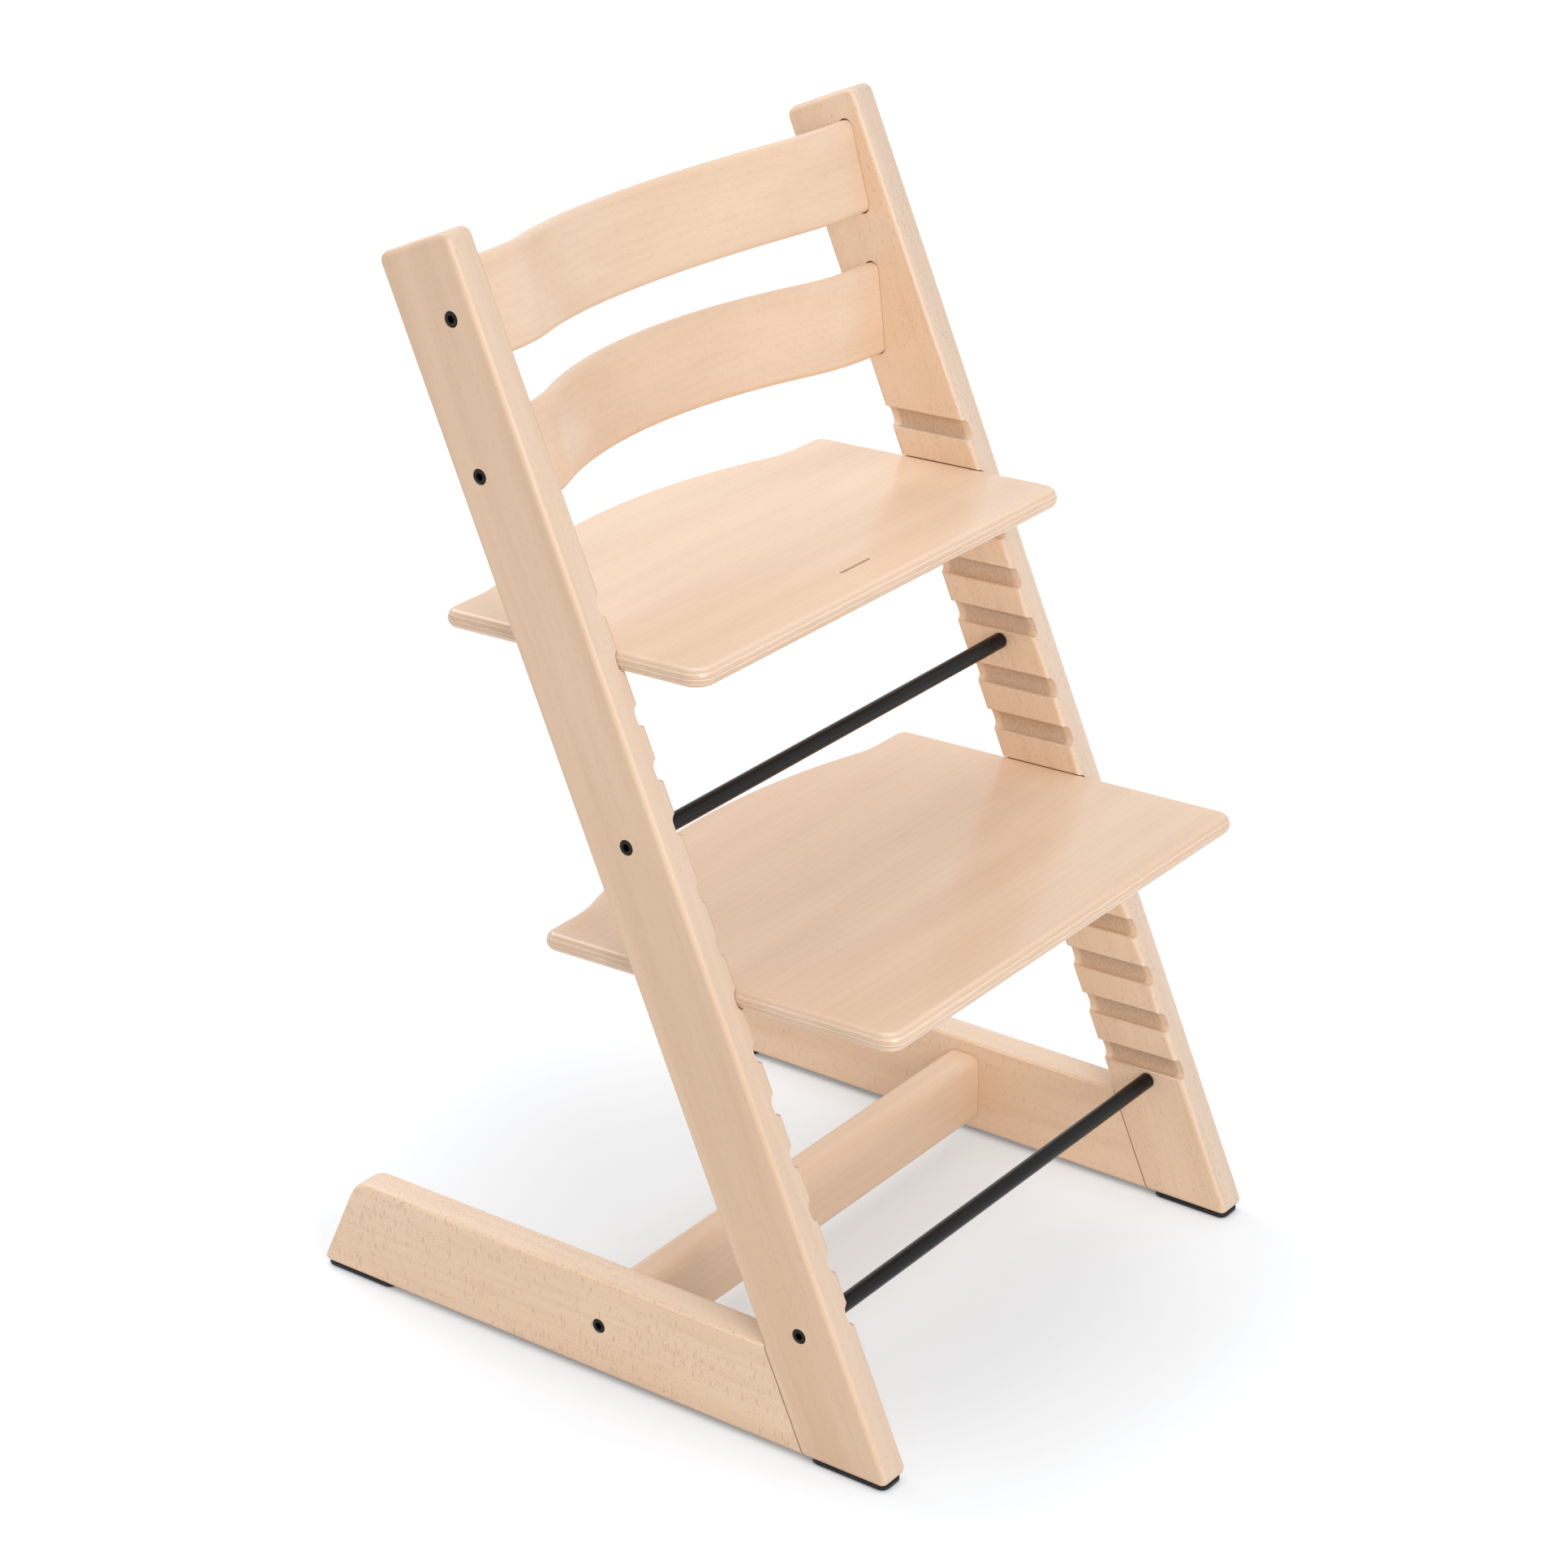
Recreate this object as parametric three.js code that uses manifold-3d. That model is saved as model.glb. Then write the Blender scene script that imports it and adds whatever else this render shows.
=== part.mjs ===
// Height-adjustable baby high chair.
//
// Two side frames, each a leaning upright doweled to a floor rail, stand on plastic glides. Two bowed
// backrest boards, two steel cross bars and a cross-brace are bolted between them. A seat and a foot
// plate slide in the rows of grooves that run through the uprights' inner faces.
//
// Millimetres, +Z up, the front of the chair faces -Y, and the floor is z = 0 under its middle.

import * as THREE from 'three';
import Module from 'manifold-3d';
import { mergeVertices, toCreasedNormals } from 'three/addons/utils/BufferGeometryUtils.js';

const wasm = await Module();
wasm.setup();

const degrees = THREE.MathUtils.degToRad;

// ---------------------------------------------------------------- driving dimensions

const OVERALL_WIDTH = 458;
const OVERALL_DEPTH = 490.3;

// side frames
const SIDE_THICKNESS = 24.5;
const UPRIGHT_LENGTH = 861.2; // along the front edge, from the toe to the top corner
const UPRIGHT_WIDTH = 62.4; // square across the front edge
const UPRIGHT_LEAN = degrees(66.44); // from the floor
const RAIL_HEIGHT = 75.5;
const HEEL_LEAN = degrees(65.3);
const EDGE_ROUND = 3.5;
const TOE_ROUND = 4.5;
const TOP_ROUND = 6.5;
const HEEL_TOP_ROUND = 19;
const HEEL_BOTTOM_ROUND = 4;

// plate grooves in the uprights, counted from the top, in an upper and a lower row
const TOP_GROOVE_DROP = 254.7; // along the front edge, from the top corner to the highest groove
const GROOVE_PITCH = 34;
const UPPER_ROW_GROOVES = 5;
const ROW_SPACING = 42.4; // from the last groove of the upper row to the first of the lower one
const GROOVE_DEPTH = 6.4;
const GROOVE_CORNER = 4.8; // radius where its walls meet its bottom
const GROOVE_EDGE_EASE = 1;
const LOWEST_GROOVE_ABOVE_RAIL = 25;
const PLATE_RISE = degrees(1.75); // grooves and plates rise towards the front
const SEAT_GROOVE = 1;
const FOOT_GROOVE = 7;

// seat and foot plate
const PLATE_THICKNESS = 13.5;
const PLATE_EDGE_FLAT = 0.5; // left between the edge's upper and lower rounds
const PLATE_WING_CORNER = 10.5;
const PLATE_EASE_RADIUS = 75; // hollow curve between a wing and the rear bulge
const SEAT = { frontReach: 66.4, frontCorner: 16, sideLength: 214, wing: 28, bulge: 33.5 };
const FOOT = { frontReach: 123.3, frontCorner: 13.5, sideLength: 287, wing: 27.5, bulge: 28.2 };
const STRAP_SLOT_LENGTH = 34;
const STRAP_SLOT_WIDTH = 2.5;
const STRAP_SLOT_SETBACK = 32; // from the seat's front edge

// backrest boards: drop along the front edge from the top corner, and depth behind that edge
const UPPER_BACKREST = { drop: 61.5, setback: 21.6, lean: degrees(74.5) };
const LOWER_BACKREST = { drop: 170.6, setback: 46, lean: degrees(83.5) };
const BACKREST_HEIGHT = 66;
const BACKREST_THICKNESS = 12;
const BACKREST_BOW = 44;
const BACKREST_EASE_RADIUS = 113; // reverse curve at each end of the bow
const BACKREST_STRAIGHT_END = 17.5; // flat length that shows inside each upright
const BACKREST_EDGE_FLAT = 2; // left between the edge's front and rear rounds
const MORTISE_DEPTH = 12.3;
const MORTISE_END_ROOM = 1.2; // above and below the board's edge

// cross bars
const BAR_DIAMETER = 12;
const BAR_CHAMFER = 0.8;
const BAR_THREAD_DEPTH = 20;
const BAR_SETBACK = 32; // behind the upright's front edge
const BAR_BELOW_GROOVE = 0.95;

// cross-brace between the floor rails
const BRACE_FROM_TOE = 219.5;
const BRACE_THICKNESS = 28;
const BRACE_ABOVE_RAIL_BOTTOM = 8.7;
const BRACE_BELOW_RAIL_TOP = 12;
const BRACE_EDGE_ROUND = 8;
const BRACE_SCREW_RISE = 1.1; // above the brace's middle
const BRACE_SCREW_FROM_REAR = 7;
const BRACE_DOWEL_DROP = 16; // below the brace's middle
const BRACE_NUT_LENGTH = 15;

// hardware
const SCREW_DIAMETER = 6;
const SCREW_HEAD_DIAMETER = 10.5;
const SCREW_HEAD_HEIGHT = 6;
const SCREW_HEAD_CHAMFER = 0.6;
const HEX_KEY = 5; // across flats
const HEX_SOCKET_DEPTH = 3.2;
const BAR_SCREW_LENGTH = 35;
const BACKREST_SCREW_LENGTH = 40;
const BRACE_SCREW_LENGTH = 50;
const NUT_DIAMETER = 10;
const NUT_FROM_BACKREST_END = 25.5;
const NUT_FROM_BRACE_END = 28;
const NUT_SLOT = 1.4; // driver slot, as wide as it is deep
const JOINT_DOWEL_DIAMETER = 10;
const JOINT_DOWEL_LENGTH = 50;
const JOINT_DOWEL_SPACING = 38; // along the joint
const BRACE_DOWEL_DIAMETER = 8;
const BRACE_DOWEL_LENGTH = 32;

// glides
const GLIDE_HEIGHT = 4;
const GLIDE_WIDTH = 21.5;
const GLIDE_BEVEL = 1.2;
const GLIDE_CORNER = 6;
const GLIDE_LENGTH = 61;
const FRONT_GLIDE_FROM_TOE = 3.5;
const REAR_GLIDE_FROM_HEEL = 2.5;
const PEG_DIAMETER = 6;
const PEG_LENGTH = 12;

// clearances
const SEAT_GAP = 0.3; // between pieces that touch or fit in one another
const PLATE_END_GAP = 0.4; // between a plate's side edge and the bottom of its groove
const CUT_MARGIN = 2; // how far a cutter runs past the face it opens
const FACE_STEP = 0.01; // left flat between two round ends, so that no side of an outline vanishes
const JOINT_STEP = 0.1; // keeps the joint's cut off the plane of the upright's rear face

// facets
const ARC_TOLERANCE = 0.16; // greatest distance from a true arc to its facets
const TIMBER_EDGE_STEPS = 2; // across the rounded edge of a timber
const BOARD_EDGE_STEPS = 3;
const PLATE_EDGE_STEPS = 4;
const HEX_SIDES = 6;

// ---------------------------------------------------------------- derived places

const INNER_HALF_WIDTH = OVERALL_WIDTH / 2 - SIDE_THICKNESS;
const TOE_INSET = TOE_ROUND * (1 / Math.tan(UPRIGHT_LEAN / 2) - 1);
const HEEL_INSET = HEEL_BOTTOM_ROUND * (1 / Math.tan(HEEL_LEAN / 2) - 1);
const FOOT_LENGTH = OVERALL_DEPTH + TOE_INSET + HEEL_INSET; // between the unrounded toe and heel
const TOE_Y = -OVERALL_DEPTH / 2 - TOE_INSET;
const RAIL_TOP = GLIDE_HEIGHT + RAIL_HEIGHT;
const UPRIGHT_RUN = UPRIGHT_WIDTH / Math.sin(UPRIGHT_LEAN); // level depth of the upright

// Heights of points on the upright's front edge, and that edge's depth at a height, from the toe.
const heightAtDrop = (drop) => GLIDE_HEIGHT + (UPRIGHT_LENGTH - drop) * Math.sin(UPRIGHT_LEAN);
const frontEdgeAt = (height) => (height - GLIDE_HEIGHT) / Math.tan(UPRIGHT_LEAN);
const grooveMiddleAt = (height) => frontEdgeAt(height) + UPRIGHT_RUN / 2;

const PLATE_NOSE = (PLATE_THICKNESS - PLATE_EDGE_FLAT) / 2; // radius of a plate's edge all round
const GROOVE_HALF_HEIGHT = PLATE_THICKNESS / 2 + SEAT_GAP;
const topGroove = heightAtDrop(TOP_GROOVE_DROP);
const lastUpperGroove = topGroove - (UPPER_ROW_GROOVES - 1) * GROOVE_PITCH;
const firstLowerGroove = lastUpperGroove - ROW_SPACING;
const lowestAllowedGroove = RAIL_TOP + LOWEST_GROOVE_ABOVE_RAIL;
const LOWER_ROW_GROOVES = 1 + Math.floor((firstLowerGroove - lowestAllowedGroove) / GROOVE_PITCH);
const lastLowerGroove = firstLowerGroove - (LOWER_ROW_GROOVES - 1) * GROOVE_PITCH;
const grooveRow = (first, count) => Array.from({ length: count }, (_, i) => first - i * GROOVE_PITCH);
const GROOVE_HEIGHTS = [
  ...grooveRow(topGroove, UPPER_ROW_GROOVES),
  ...grooveRow(firstLowerGroove, LOWER_ROW_GROOVES),
];

const BAR_DROP = GROOVE_HALF_HEIGHT + BAR_BELOW_GROOVE + BAR_DIAMETER / 2;
const barPlace = (height) => ({ y: frontEdgeAt(height) + BAR_SETBACK, z: height });
const UPPER_BAR = barPlace(lastUpperGroove - BAR_DROP);
const LOWER_BAR = barPlace(lastLowerGroove - BAR_DROP);

// A backrest board's middle plane at its ends, from the toe.
const backrestPlace = ({ drop, setback }) => {
  const height = heightAtDrop(drop);
  return { y: frontEdgeAt(height) + setback, z: height };
};

const BRACE_HEIGHT = RAIL_HEIGHT - BRACE_ABOVE_RAIL_BOTTOM - BRACE_BELOW_RAIL_TOP;
const BRACE = {
  y: BRACE_FROM_TOE + BRACE_THICKNESS / 2,
  z: GLIDE_HEIGHT + BRACE_ABOVE_RAIL_BOTTOM + BRACE_HEIGHT / 2,
};
const BRACE_SCREW = {
  y: BRACE_FROM_TOE + BRACE_THICKNESS - BRACE_SCREW_FROM_REAR,
  z: BRACE.z + BRACE_SCREW_RISE,
};
const BRACE_DOWEL = { y: BRACE.y, z: BRACE.z - BRACE_DOWEL_DROP };

// Unit vectors of the side profile, as (depth, height): up the upright, and square to it rearwards.
const alongUpright = new THREE.Vector2(Math.cos(UPRIGHT_LEAN), Math.sin(UPRIGHT_LEAN));
const acrossUpright = new THREE.Vector2(Math.sin(UPRIGHT_LEAN), -Math.cos(UPRIGHT_LEAN));

// Middle of the joint between upright and rail, and the dowels along it.
const jointMiddle = new THREE.Vector2(
  UPRIGHT_RUN + frontEdgeAt(GLIDE_HEIGHT + RAIL_HEIGHT / 2),
  GLIDE_HEIGHT + RAIL_HEIGHT / 2,
);
const JOINT_DOWELS = [0.5, -0.5].map((step) =>
  jointMiddle.clone().addScaledVector(alongUpright, step * JOINT_DOWEL_SPACING),
);

const FRONT_GLIDE_Y = FRONT_GLIDE_FROM_TOE + GLIDE_LENGTH / 2;
const REAR_GLIDE_Y = FOOT_LENGTH - REAR_GLIDE_FROM_HEEL - GLIDE_LENGTH / 2;

// ---------------------------------------------------------------- materials

const finish = (color, roughness, metalness = 0) =>
  new THREE.MeshStandardMaterial({ color, roughness, metalness });
const solidBeech = finish('#e2c5a4', 0.55);
const beechPlywood = finish('#efd6bd', 0.5);
const dowelBeech = finish('#d9b98f', 0.7);
const blackSteel = finish('#202124', 0.42, 0.6);
const zincSteel = finish('#b7babd', 0.35, 0.9);
const blackPlastic = finish('#1b1b1c', 0.6);

// ---------------------------------------------------------------- outlines

// Facets that keep an arc within ARC_TOLERANCE of the true circle.
function facetCount(radius, angle) {
  const step = 2 * Math.acos(1 - Math.min(ARC_TOLERANCE / radius, 0.3));
  return Math.max(1, Math.ceil(Math.abs(angle) / step));
}

// Points of an arc, both ends included.
function arcPoints(centreX, centreY, radius, from, to) {
  const count = facetCount(radius, to - from);
  return Array.from({ length: count + 1 }, (_, i) => {
    const angle = from + ((to - from) * i) / count;
    return new THREE.Vector2(centreX + radius * Math.cos(angle), centreY + radius * Math.sin(angle));
  });
}

// A closed outline through corners given anticlockwise as [x, y, radius]; radius 0 stays sharp.
function roundedShape(corners) {
  const points = corners.flatMap(([x, y, radius], i) => {
    if (radius === 0) return [new THREE.Vector2(x, y)];
    const corner = new THREE.Vector2(x, y);
    const towards = (other) => new THREE.Vector2(other[0], other[1]).sub(corner).normalize();
    const back = towards(corners.at(i - 1));
    const ahead = towards(corners[(i + 1) % corners.length]);
    const turn = Math.PI - Math.acos(back.dot(ahead));
    const bisector = back.clone().add(ahead).normalize();
    const centre = corner.clone().addScaledVector(bisector, radius / Math.cos(turn / 2));
    const hollow = back.cross(ahead) > 0;
    const middle = Math.atan2(-bisector.y, -bisector.x);
    const half = hollow ? -turn / 2 : turn / 2;
    return arcPoints(centre.x, centre.y, radius, middle - half, middle + half);
  });
  return new THREE.Shape(points);
}

const rectangle = (width, height, radius = 0) =>
  roundedShape([
    [-width / 2, -height / 2, radius],
    [width / 2, -height / 2, radius],
    [width / 2, height / 2, radius],
    [-width / 2, height / 2, radius],
  ]);

// A bow that leaves a straight end, eases through a reverse curve and swells to `rise` in the middle.
// Both curves turn through the same angle, so they meet on one tangent.
function bowCurve(halfSpan, rise, easeRadius) {
  const angle = 2 * Math.atan(rise / halfSpan);
  return { angle, radius: halfSpan / Math.sin(angle) - easeRadius, easeRadius, halfSpan, rise };
}

// The bow as points from +x to -x, moved outwards by `offset`; its straight ends lie on y = offset.
function bowPoints({ angle, radius, easeRadius, halfSpan, rise }, offset) {
  const top = Math.PI / 2;
  const ease = easeRadius - offset;
  const right = arcPoints(halfSpan, easeRadius, ease, -top, -top - angle);
  const middle = arcPoints(0, rise - radius, radius + offset, top - angle, top + angle);
  const left = arcPoints(-halfSpan, easeRadius, ease, -top + angle, -top);
  return [...right, ...middle.slice(1), ...left.slice(1)];
}

// ---------------------------------------------------------------- solids

// Extrudes a shape centred on z = 0; `round` curves or bevels the edges of both ends inwards.
function prism(shape, length, round = 0, roundSegments = TIMBER_EDGE_STEPS) {
  const geometry = new THREE.ExtrudeGeometry(shape, {
    depth: length - 2 * round,
    bevelEnabled: round > 0,
    bevelThickness: round,
    bevelSize: round,
    bevelOffset: -round,
    bevelSegments: roundSegments,
    curveSegments: 1,
  });
  return geometry.translate(0, 0, round - length / 2);
}

// Closed revolve of [radius, height] points that start and end on the axis, which lies along z.
function revolve(profile) {
  const points = profile.map(([radius, height]) => new THREE.Vector2(radius, height));
  const widest = Math.max(...profile.map(([radius]) => radius));
  return new THREE.LatheGeometry(points, facetCount(widest, 2 * Math.PI)).rotateX(Math.PI / 2);
}

function cylinder(diameter, length, facets = facetCount(diameter / 2, 2 * Math.PI)) {
  return new THREE.CylinderGeometry(diameter / 2, diameter / 2, length, facets).rotateX(Math.PI / 2);
}

// Turns that lay a shape's drawing plane and extrusion onto the chair's axes.
const drawnFromSide = new THREE.Matrix4().makeBasis(
  new THREE.Vector3(0, 1, 0),
  new THREE.Vector3(0, 0, 1),
  new THREE.Vector3(1, 0, 0),
);
const drawnFromFront = new THREE.Matrix4().makeRotationX(Math.PI / 2);
const alongX = new THREE.Matrix4().makeRotationY(Math.PI / 2);

function toSolid(geometry) {
  const bare = geometry.clone();
  bare.deleteAttribute('normal');
  bare.deleteAttribute('uv');
  const merged = mergeVertices(bare, 1e-4);
  return new wasm.Manifold(new wasm.Mesh({
    numProp: 3,
    vertProperties: new Float32Array(merged.attributes.position.array),
    triVerts: new Uint32Array(merged.index.array),
  }));
}

function toGeometry(solid) {
  const { vertProperties, triVerts } = solid.getMesh();
  const geometry = new THREE.BufferGeometry();
  geometry.setAttribute('position', new THREE.BufferAttribute(vertProperties, 3));
  geometry.setIndex(new THREE.BufferAttribute(triVerts, 1));
  return toCreasedNormals(geometry, degrees(35));
}

const cutAll = (geometry, cutters) =>
  cutters.reduce((solid, cutter) => solid.subtract(toSolid(cutter)), toSolid(geometry));

function namedMesh(name, geometry, material, place = {}) {
  const mesh = new THREE.Mesh(geometry, material);
  mesh.name = name;
  mesh.position.set(place.x ?? 0, place.y ?? 0, place.z ?? 0);
  return mesh;
}

// ---------------------------------------------------------------- side frames

// Local frame: x = 0 on the inner face and positive outwards times `out`, y = 0 at the toe, z = 0 on
// the floor. `out` is -1 on the left of the chair and +1 on the right.

function sideProfile() {
  const bottom = GLIDE_HEIGHT;
  const topFront = new THREE.Vector2(0, bottom).addScaledVector(alongUpright, UPRIGHT_LENGTH);
  const topRear = topFront.clone().addScaledVector(acrossUpright, UPRIGHT_WIDTH);
  const heelTop = FOOT_LENGTH - RAIL_HEIGHT / Math.tan(HEEL_LEAN);
  return roundedShape([
    [0, bottom, TOE_ROUND],
    [FOOT_LENGTH, bottom, HEEL_BOTTOM_ROUND],
    [heelTop, RAIL_TOP, HEEL_TOP_ROUND],
    [UPRIGHT_RUN + frontEdgeAt(RAIL_TOP), RAIL_TOP, 0],
    [topRear.x, topRear.y, TOP_ROUND],
    [topFront.x, topFront.y, TOP_ROUND],
  ]);
}

// Groove through the upright, rising towards the front, with a rounded bottom and eased edges.
function grooveCutter(out, height) {
  const half = GROOVE_HALF_HEIGHT;
  const flare = half + GROOVE_EDGE_EASE;
  const section = roundedShape([
    [-CUT_MARGIN, -flare, 0],
    [0, -flare, 0],
    [GROOVE_EDGE_EASE, -half, 0],
    [GROOVE_DEPTH, -half, GROOVE_CORNER],
    [GROOVE_DEPTH, half, GROOVE_CORNER],
    [GROOVE_EDGE_EASE, half, 0],
    [0, flare, 0],
    [-CUT_MARGIN, flare, 0],
  ]);
  const length = UPRIGHT_RUN + 4 * flare;
  const cutter = prism(section, length).applyMatrix4(drawnFromFront);
  if (out < 0) cutter.rotateZ(Math.PI);
  return cutter.rotateX(-PLATE_RISE).translate(0, grooveMiddleAt(height), height);
}

// Slot with round ends that takes a backrest board's end.
function mortiseCutter(out, backrest) {
  const width = BACKREST_THICKNESS + 2 * SEAT_GAP;
  const length = BACKREST_HEIGHT + 2 * MORTISE_END_ROOM;
  const place = backrestPlace(backrest);
  return prism(rectangle(width, length, width / 2 - FACE_STEP), MORTISE_DEPTH + CUT_MARGIN)
    .applyMatrix4(drawnFromSide)
    .rotateX(backrest.lean - Math.PI / 2)
    .translate(out * (MORTISE_DEPTH - CUT_MARGIN) / 2, place.y, place.z);
}

// Screw hole from the outer face to the inner one, with a counterbore that sinks the head flush.
function screwHoleCutters(out, place) {
  const headRoom = SCREW_HEAD_HEIGHT + SEAT_GAP;
  const hole = cylinder(SCREW_DIAMETER + 2 * SEAT_GAP, SIDE_THICKNESS + 2 * CUT_MARGIN)
    .applyMatrix4(alongX)
    .translate(out * SIDE_THICKNESS / 2, place.y, place.z);
  const counterbore = cylinder(SCREW_HEAD_DIAMETER + 2 * SEAT_GAP, headRoom + CUT_MARGIN)
    .applyMatrix4(alongX)
    .translate(out * (SIDE_THICKNESS - (headRoom - CUT_MARGIN) / 2), place.y, place.z);
  return [hole, counterbore];
}

const acrossJoint = (geometry) => geometry.rotateX(UPRIGHT_LEAN);

function jointDowelCutter(out, middle) {
  return acrossJoint(cylinder(JOINT_DOWEL_DIAMETER + 2 * SEAT_GAP, JOINT_DOWEL_LENGTH + 2 * SEAT_GAP))
    .translate(out * SIDE_THICKNESS / 2, middle.x, middle.y);
}

function braceDowelCutter(out) {
  const depth = BRACE_DOWEL_LENGTH / 2 + SEAT_GAP;
  return cylinder(BRACE_DOWEL_DIAMETER + 2 * SEAT_GAP, depth + CUT_MARGIN)
    .applyMatrix4(alongX)
    .translate(out * (depth - CUT_MARGIN) / 2, BRACE_DOWEL.y, BRACE_DOWEL.z);
}

function pegHoleCutter(out, y) {
  const depth = PEG_LENGTH + SEAT_GAP;
  return cylinder(PEG_DIAMETER + 2 * SEAT_GAP, depth + CUT_MARGIN)
    .translate(out * SIDE_THICKNESS / 2, y, GLIDE_HEIGHT + (depth - CUT_MARGIN) / 2);
}

// Both timbers of one side are shaped as one outline, then parted along the glued joint.
function sideTimbers(out) {
  const blank = prism(sideProfile(), SIDE_THICKNESS, EDGE_ROUND)
    .applyMatrix4(drawnFromSide)
    .translate(out * SIDE_THICKNESS / 2, 0, 0);
  const screwPlaces = [
    backrestPlace(UPPER_BACKREST),
    backrestPlace(LOWER_BACKREST),
    UPPER_BAR,
    LOWER_BAR,
    BRACE_SCREW,
  ];
  const side = cutAll(blank, [
    ...GROOVE_HEIGHTS.map((height) => grooveCutter(out, height)),
    mortiseCutter(out, UPPER_BACKREST),
    mortiseCutter(out, LOWER_BACKREST),
    ...screwPlaces.flatMap((place) => screwHoleCutters(out, place)),
    ...JOINT_DOWELS.map((middle) => jointDowelCutter(out, middle)),
    braceDowelCutter(out),
    pegHoleCutter(out, FRONT_GLIDE_Y),
    pegHoleCutter(out, REAR_GLIDE_Y),
  ]);
  const rearwards = [0, acrossUpright.x, acrossUpright.y];
  const forwards = rearwards.map((value) => -value);
  const joint = UPRIGHT_WIDTH + GLIDE_HEIGHT * acrossUpright.y + JOINT_STEP;
  return {
    upright: toGeometry(side.trimByPlane(forwards, -joint)),
    rail: toGeometry(side.trimByPlane(rearwards, joint + SEAT_GAP)),
  };
}

// Low slab with a bevelled underside and a peg that is driven up into the timber.
function glideGeometry() {
  const height = GLIDE_HEIGHT - SEAT_GAP;
  const slab = prism(rectangle(GLIDE_WIDTH, GLIDE_LENGTH, GLIDE_CORNER), 2 * height, GLIDE_BEVEL, 1)
    .translate(0, 0, height);
  const peg = cylinder(PEG_DIAMETER, PEG_LENGTH + height / 2)
    .translate(0, 0, height + PEG_LENGTH / 2 - height / 4);
  const base = toSolid(slab).trimByPlane([0, 0, -1], -height);
  return toGeometry(base.add(toSolid(peg)));
}

function sideFrame(out, side) {
  const { upright, rail } = sideTimbers(out);
  const middle = out * SIDE_THICKNESS / 2;
  const dowel = acrossJoint(cylinder(JOINT_DOWEL_DIAMETER, JOINT_DOWEL_LENGTH));
  const glide = glideGeometry();
  const frame = new THREE.Group();
  frame.position.set(out * INNER_HALF_WIDTH, TOE_Y, 0);
  frame.add(
    namedMesh(`side_upright_${side}`, upright, solidBeech),
    namedMesh(`floor_rail_${side}`, rail, solidBeech),
    ...JOINT_DOWELS.map(({ x, y }, i) => namedMesh(
      `joint_dowel_${['upper', 'lower'][i]}_${side}`, dowel, dowelBeech, { x: middle, y: x, z: y },
    )),
    namedMesh(`front_glide_${side}`, glide, blackPlastic, { x: middle, y: FRONT_GLIDE_Y }),
    namedMesh(`rear_glide_${side}`, glide, blackPlastic, { x: middle, y: REAR_GLIDE_Y }),
  );
  return frame;
}

// ---------------------------------------------------------------- seat and foot plate

// Straight front and sides, with two level wings and a bulge between them at the rear.
function plateOutline({ frontCorner: front, sideLength, wing, bulge }) {
  const half = INNER_HALF_WIDTH + GROOVE_DEPTH - PLATE_END_GAP;
  const rear = PLATE_WING_CORNER;
  const bow = bowCurve(INNER_HALF_WIDTH - wing, bulge, PLATE_EASE_RADIUS);
  const quarter = Math.PI / 2;
  return new THREE.Shape([
    ...arcPoints(front - half, front, front, 2 * quarter, 3 * quarter),
    ...arcPoints(half - front, front, front, -quarter, 0),
    ...arcPoints(half - rear, sideLength - rear, rear, 0, quarter),
    ...bowPoints(bow, 0).map((point) => point.add(new THREE.Vector2(0, sideLength))),
    ...arcPoints(rear - half, sideLength - rear, rear, quarter, 2 * quarter),
  ]);
}

// A plate in its groove, with its front edge `frontReach` ahead of the uprights.
function slidingPlate(name, spec, groove, cutters = []) {
  const height = GROOVE_HEIGHTS[groove];
  const plate = prism(plateOutline(spec), PLATE_THICKNESS, PLATE_NOSE, PLATE_EDGE_STEPS);
  const solid = cutAll(plate, cutters).translate(0, -spec.frontReach - UPRIGHT_RUN / 2, 0);
  const mesh = namedMesh(name, toGeometry(solid), beechPlywood, {
    y: TOE_Y + grooveMiddleAt(height),
    z: height,
  });
  mesh.rotation.x = -PLATE_RISE;
  return mesh;
}

function strapSlotCutter() {
  const slot = rectangle(STRAP_SLOT_LENGTH, STRAP_SLOT_WIDTH, STRAP_SLOT_WIDTH / 2 - FACE_STEP);
  return prism(slot, PLATE_THICKNESS + 2 * CUT_MARGIN).translate(0, STRAP_SLOT_SETBACK, 0);
}

// ---------------------------------------------------------------- backrest boards

const BACKREST_END = INNER_HALF_WIDTH + MORTISE_DEPTH - SEAT_GAP;
const backrestNutX = BACKREST_END - NUT_FROM_BACKREST_END;
const backrestNutLength = BACKREST_THICKNESS - 2;

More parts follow.
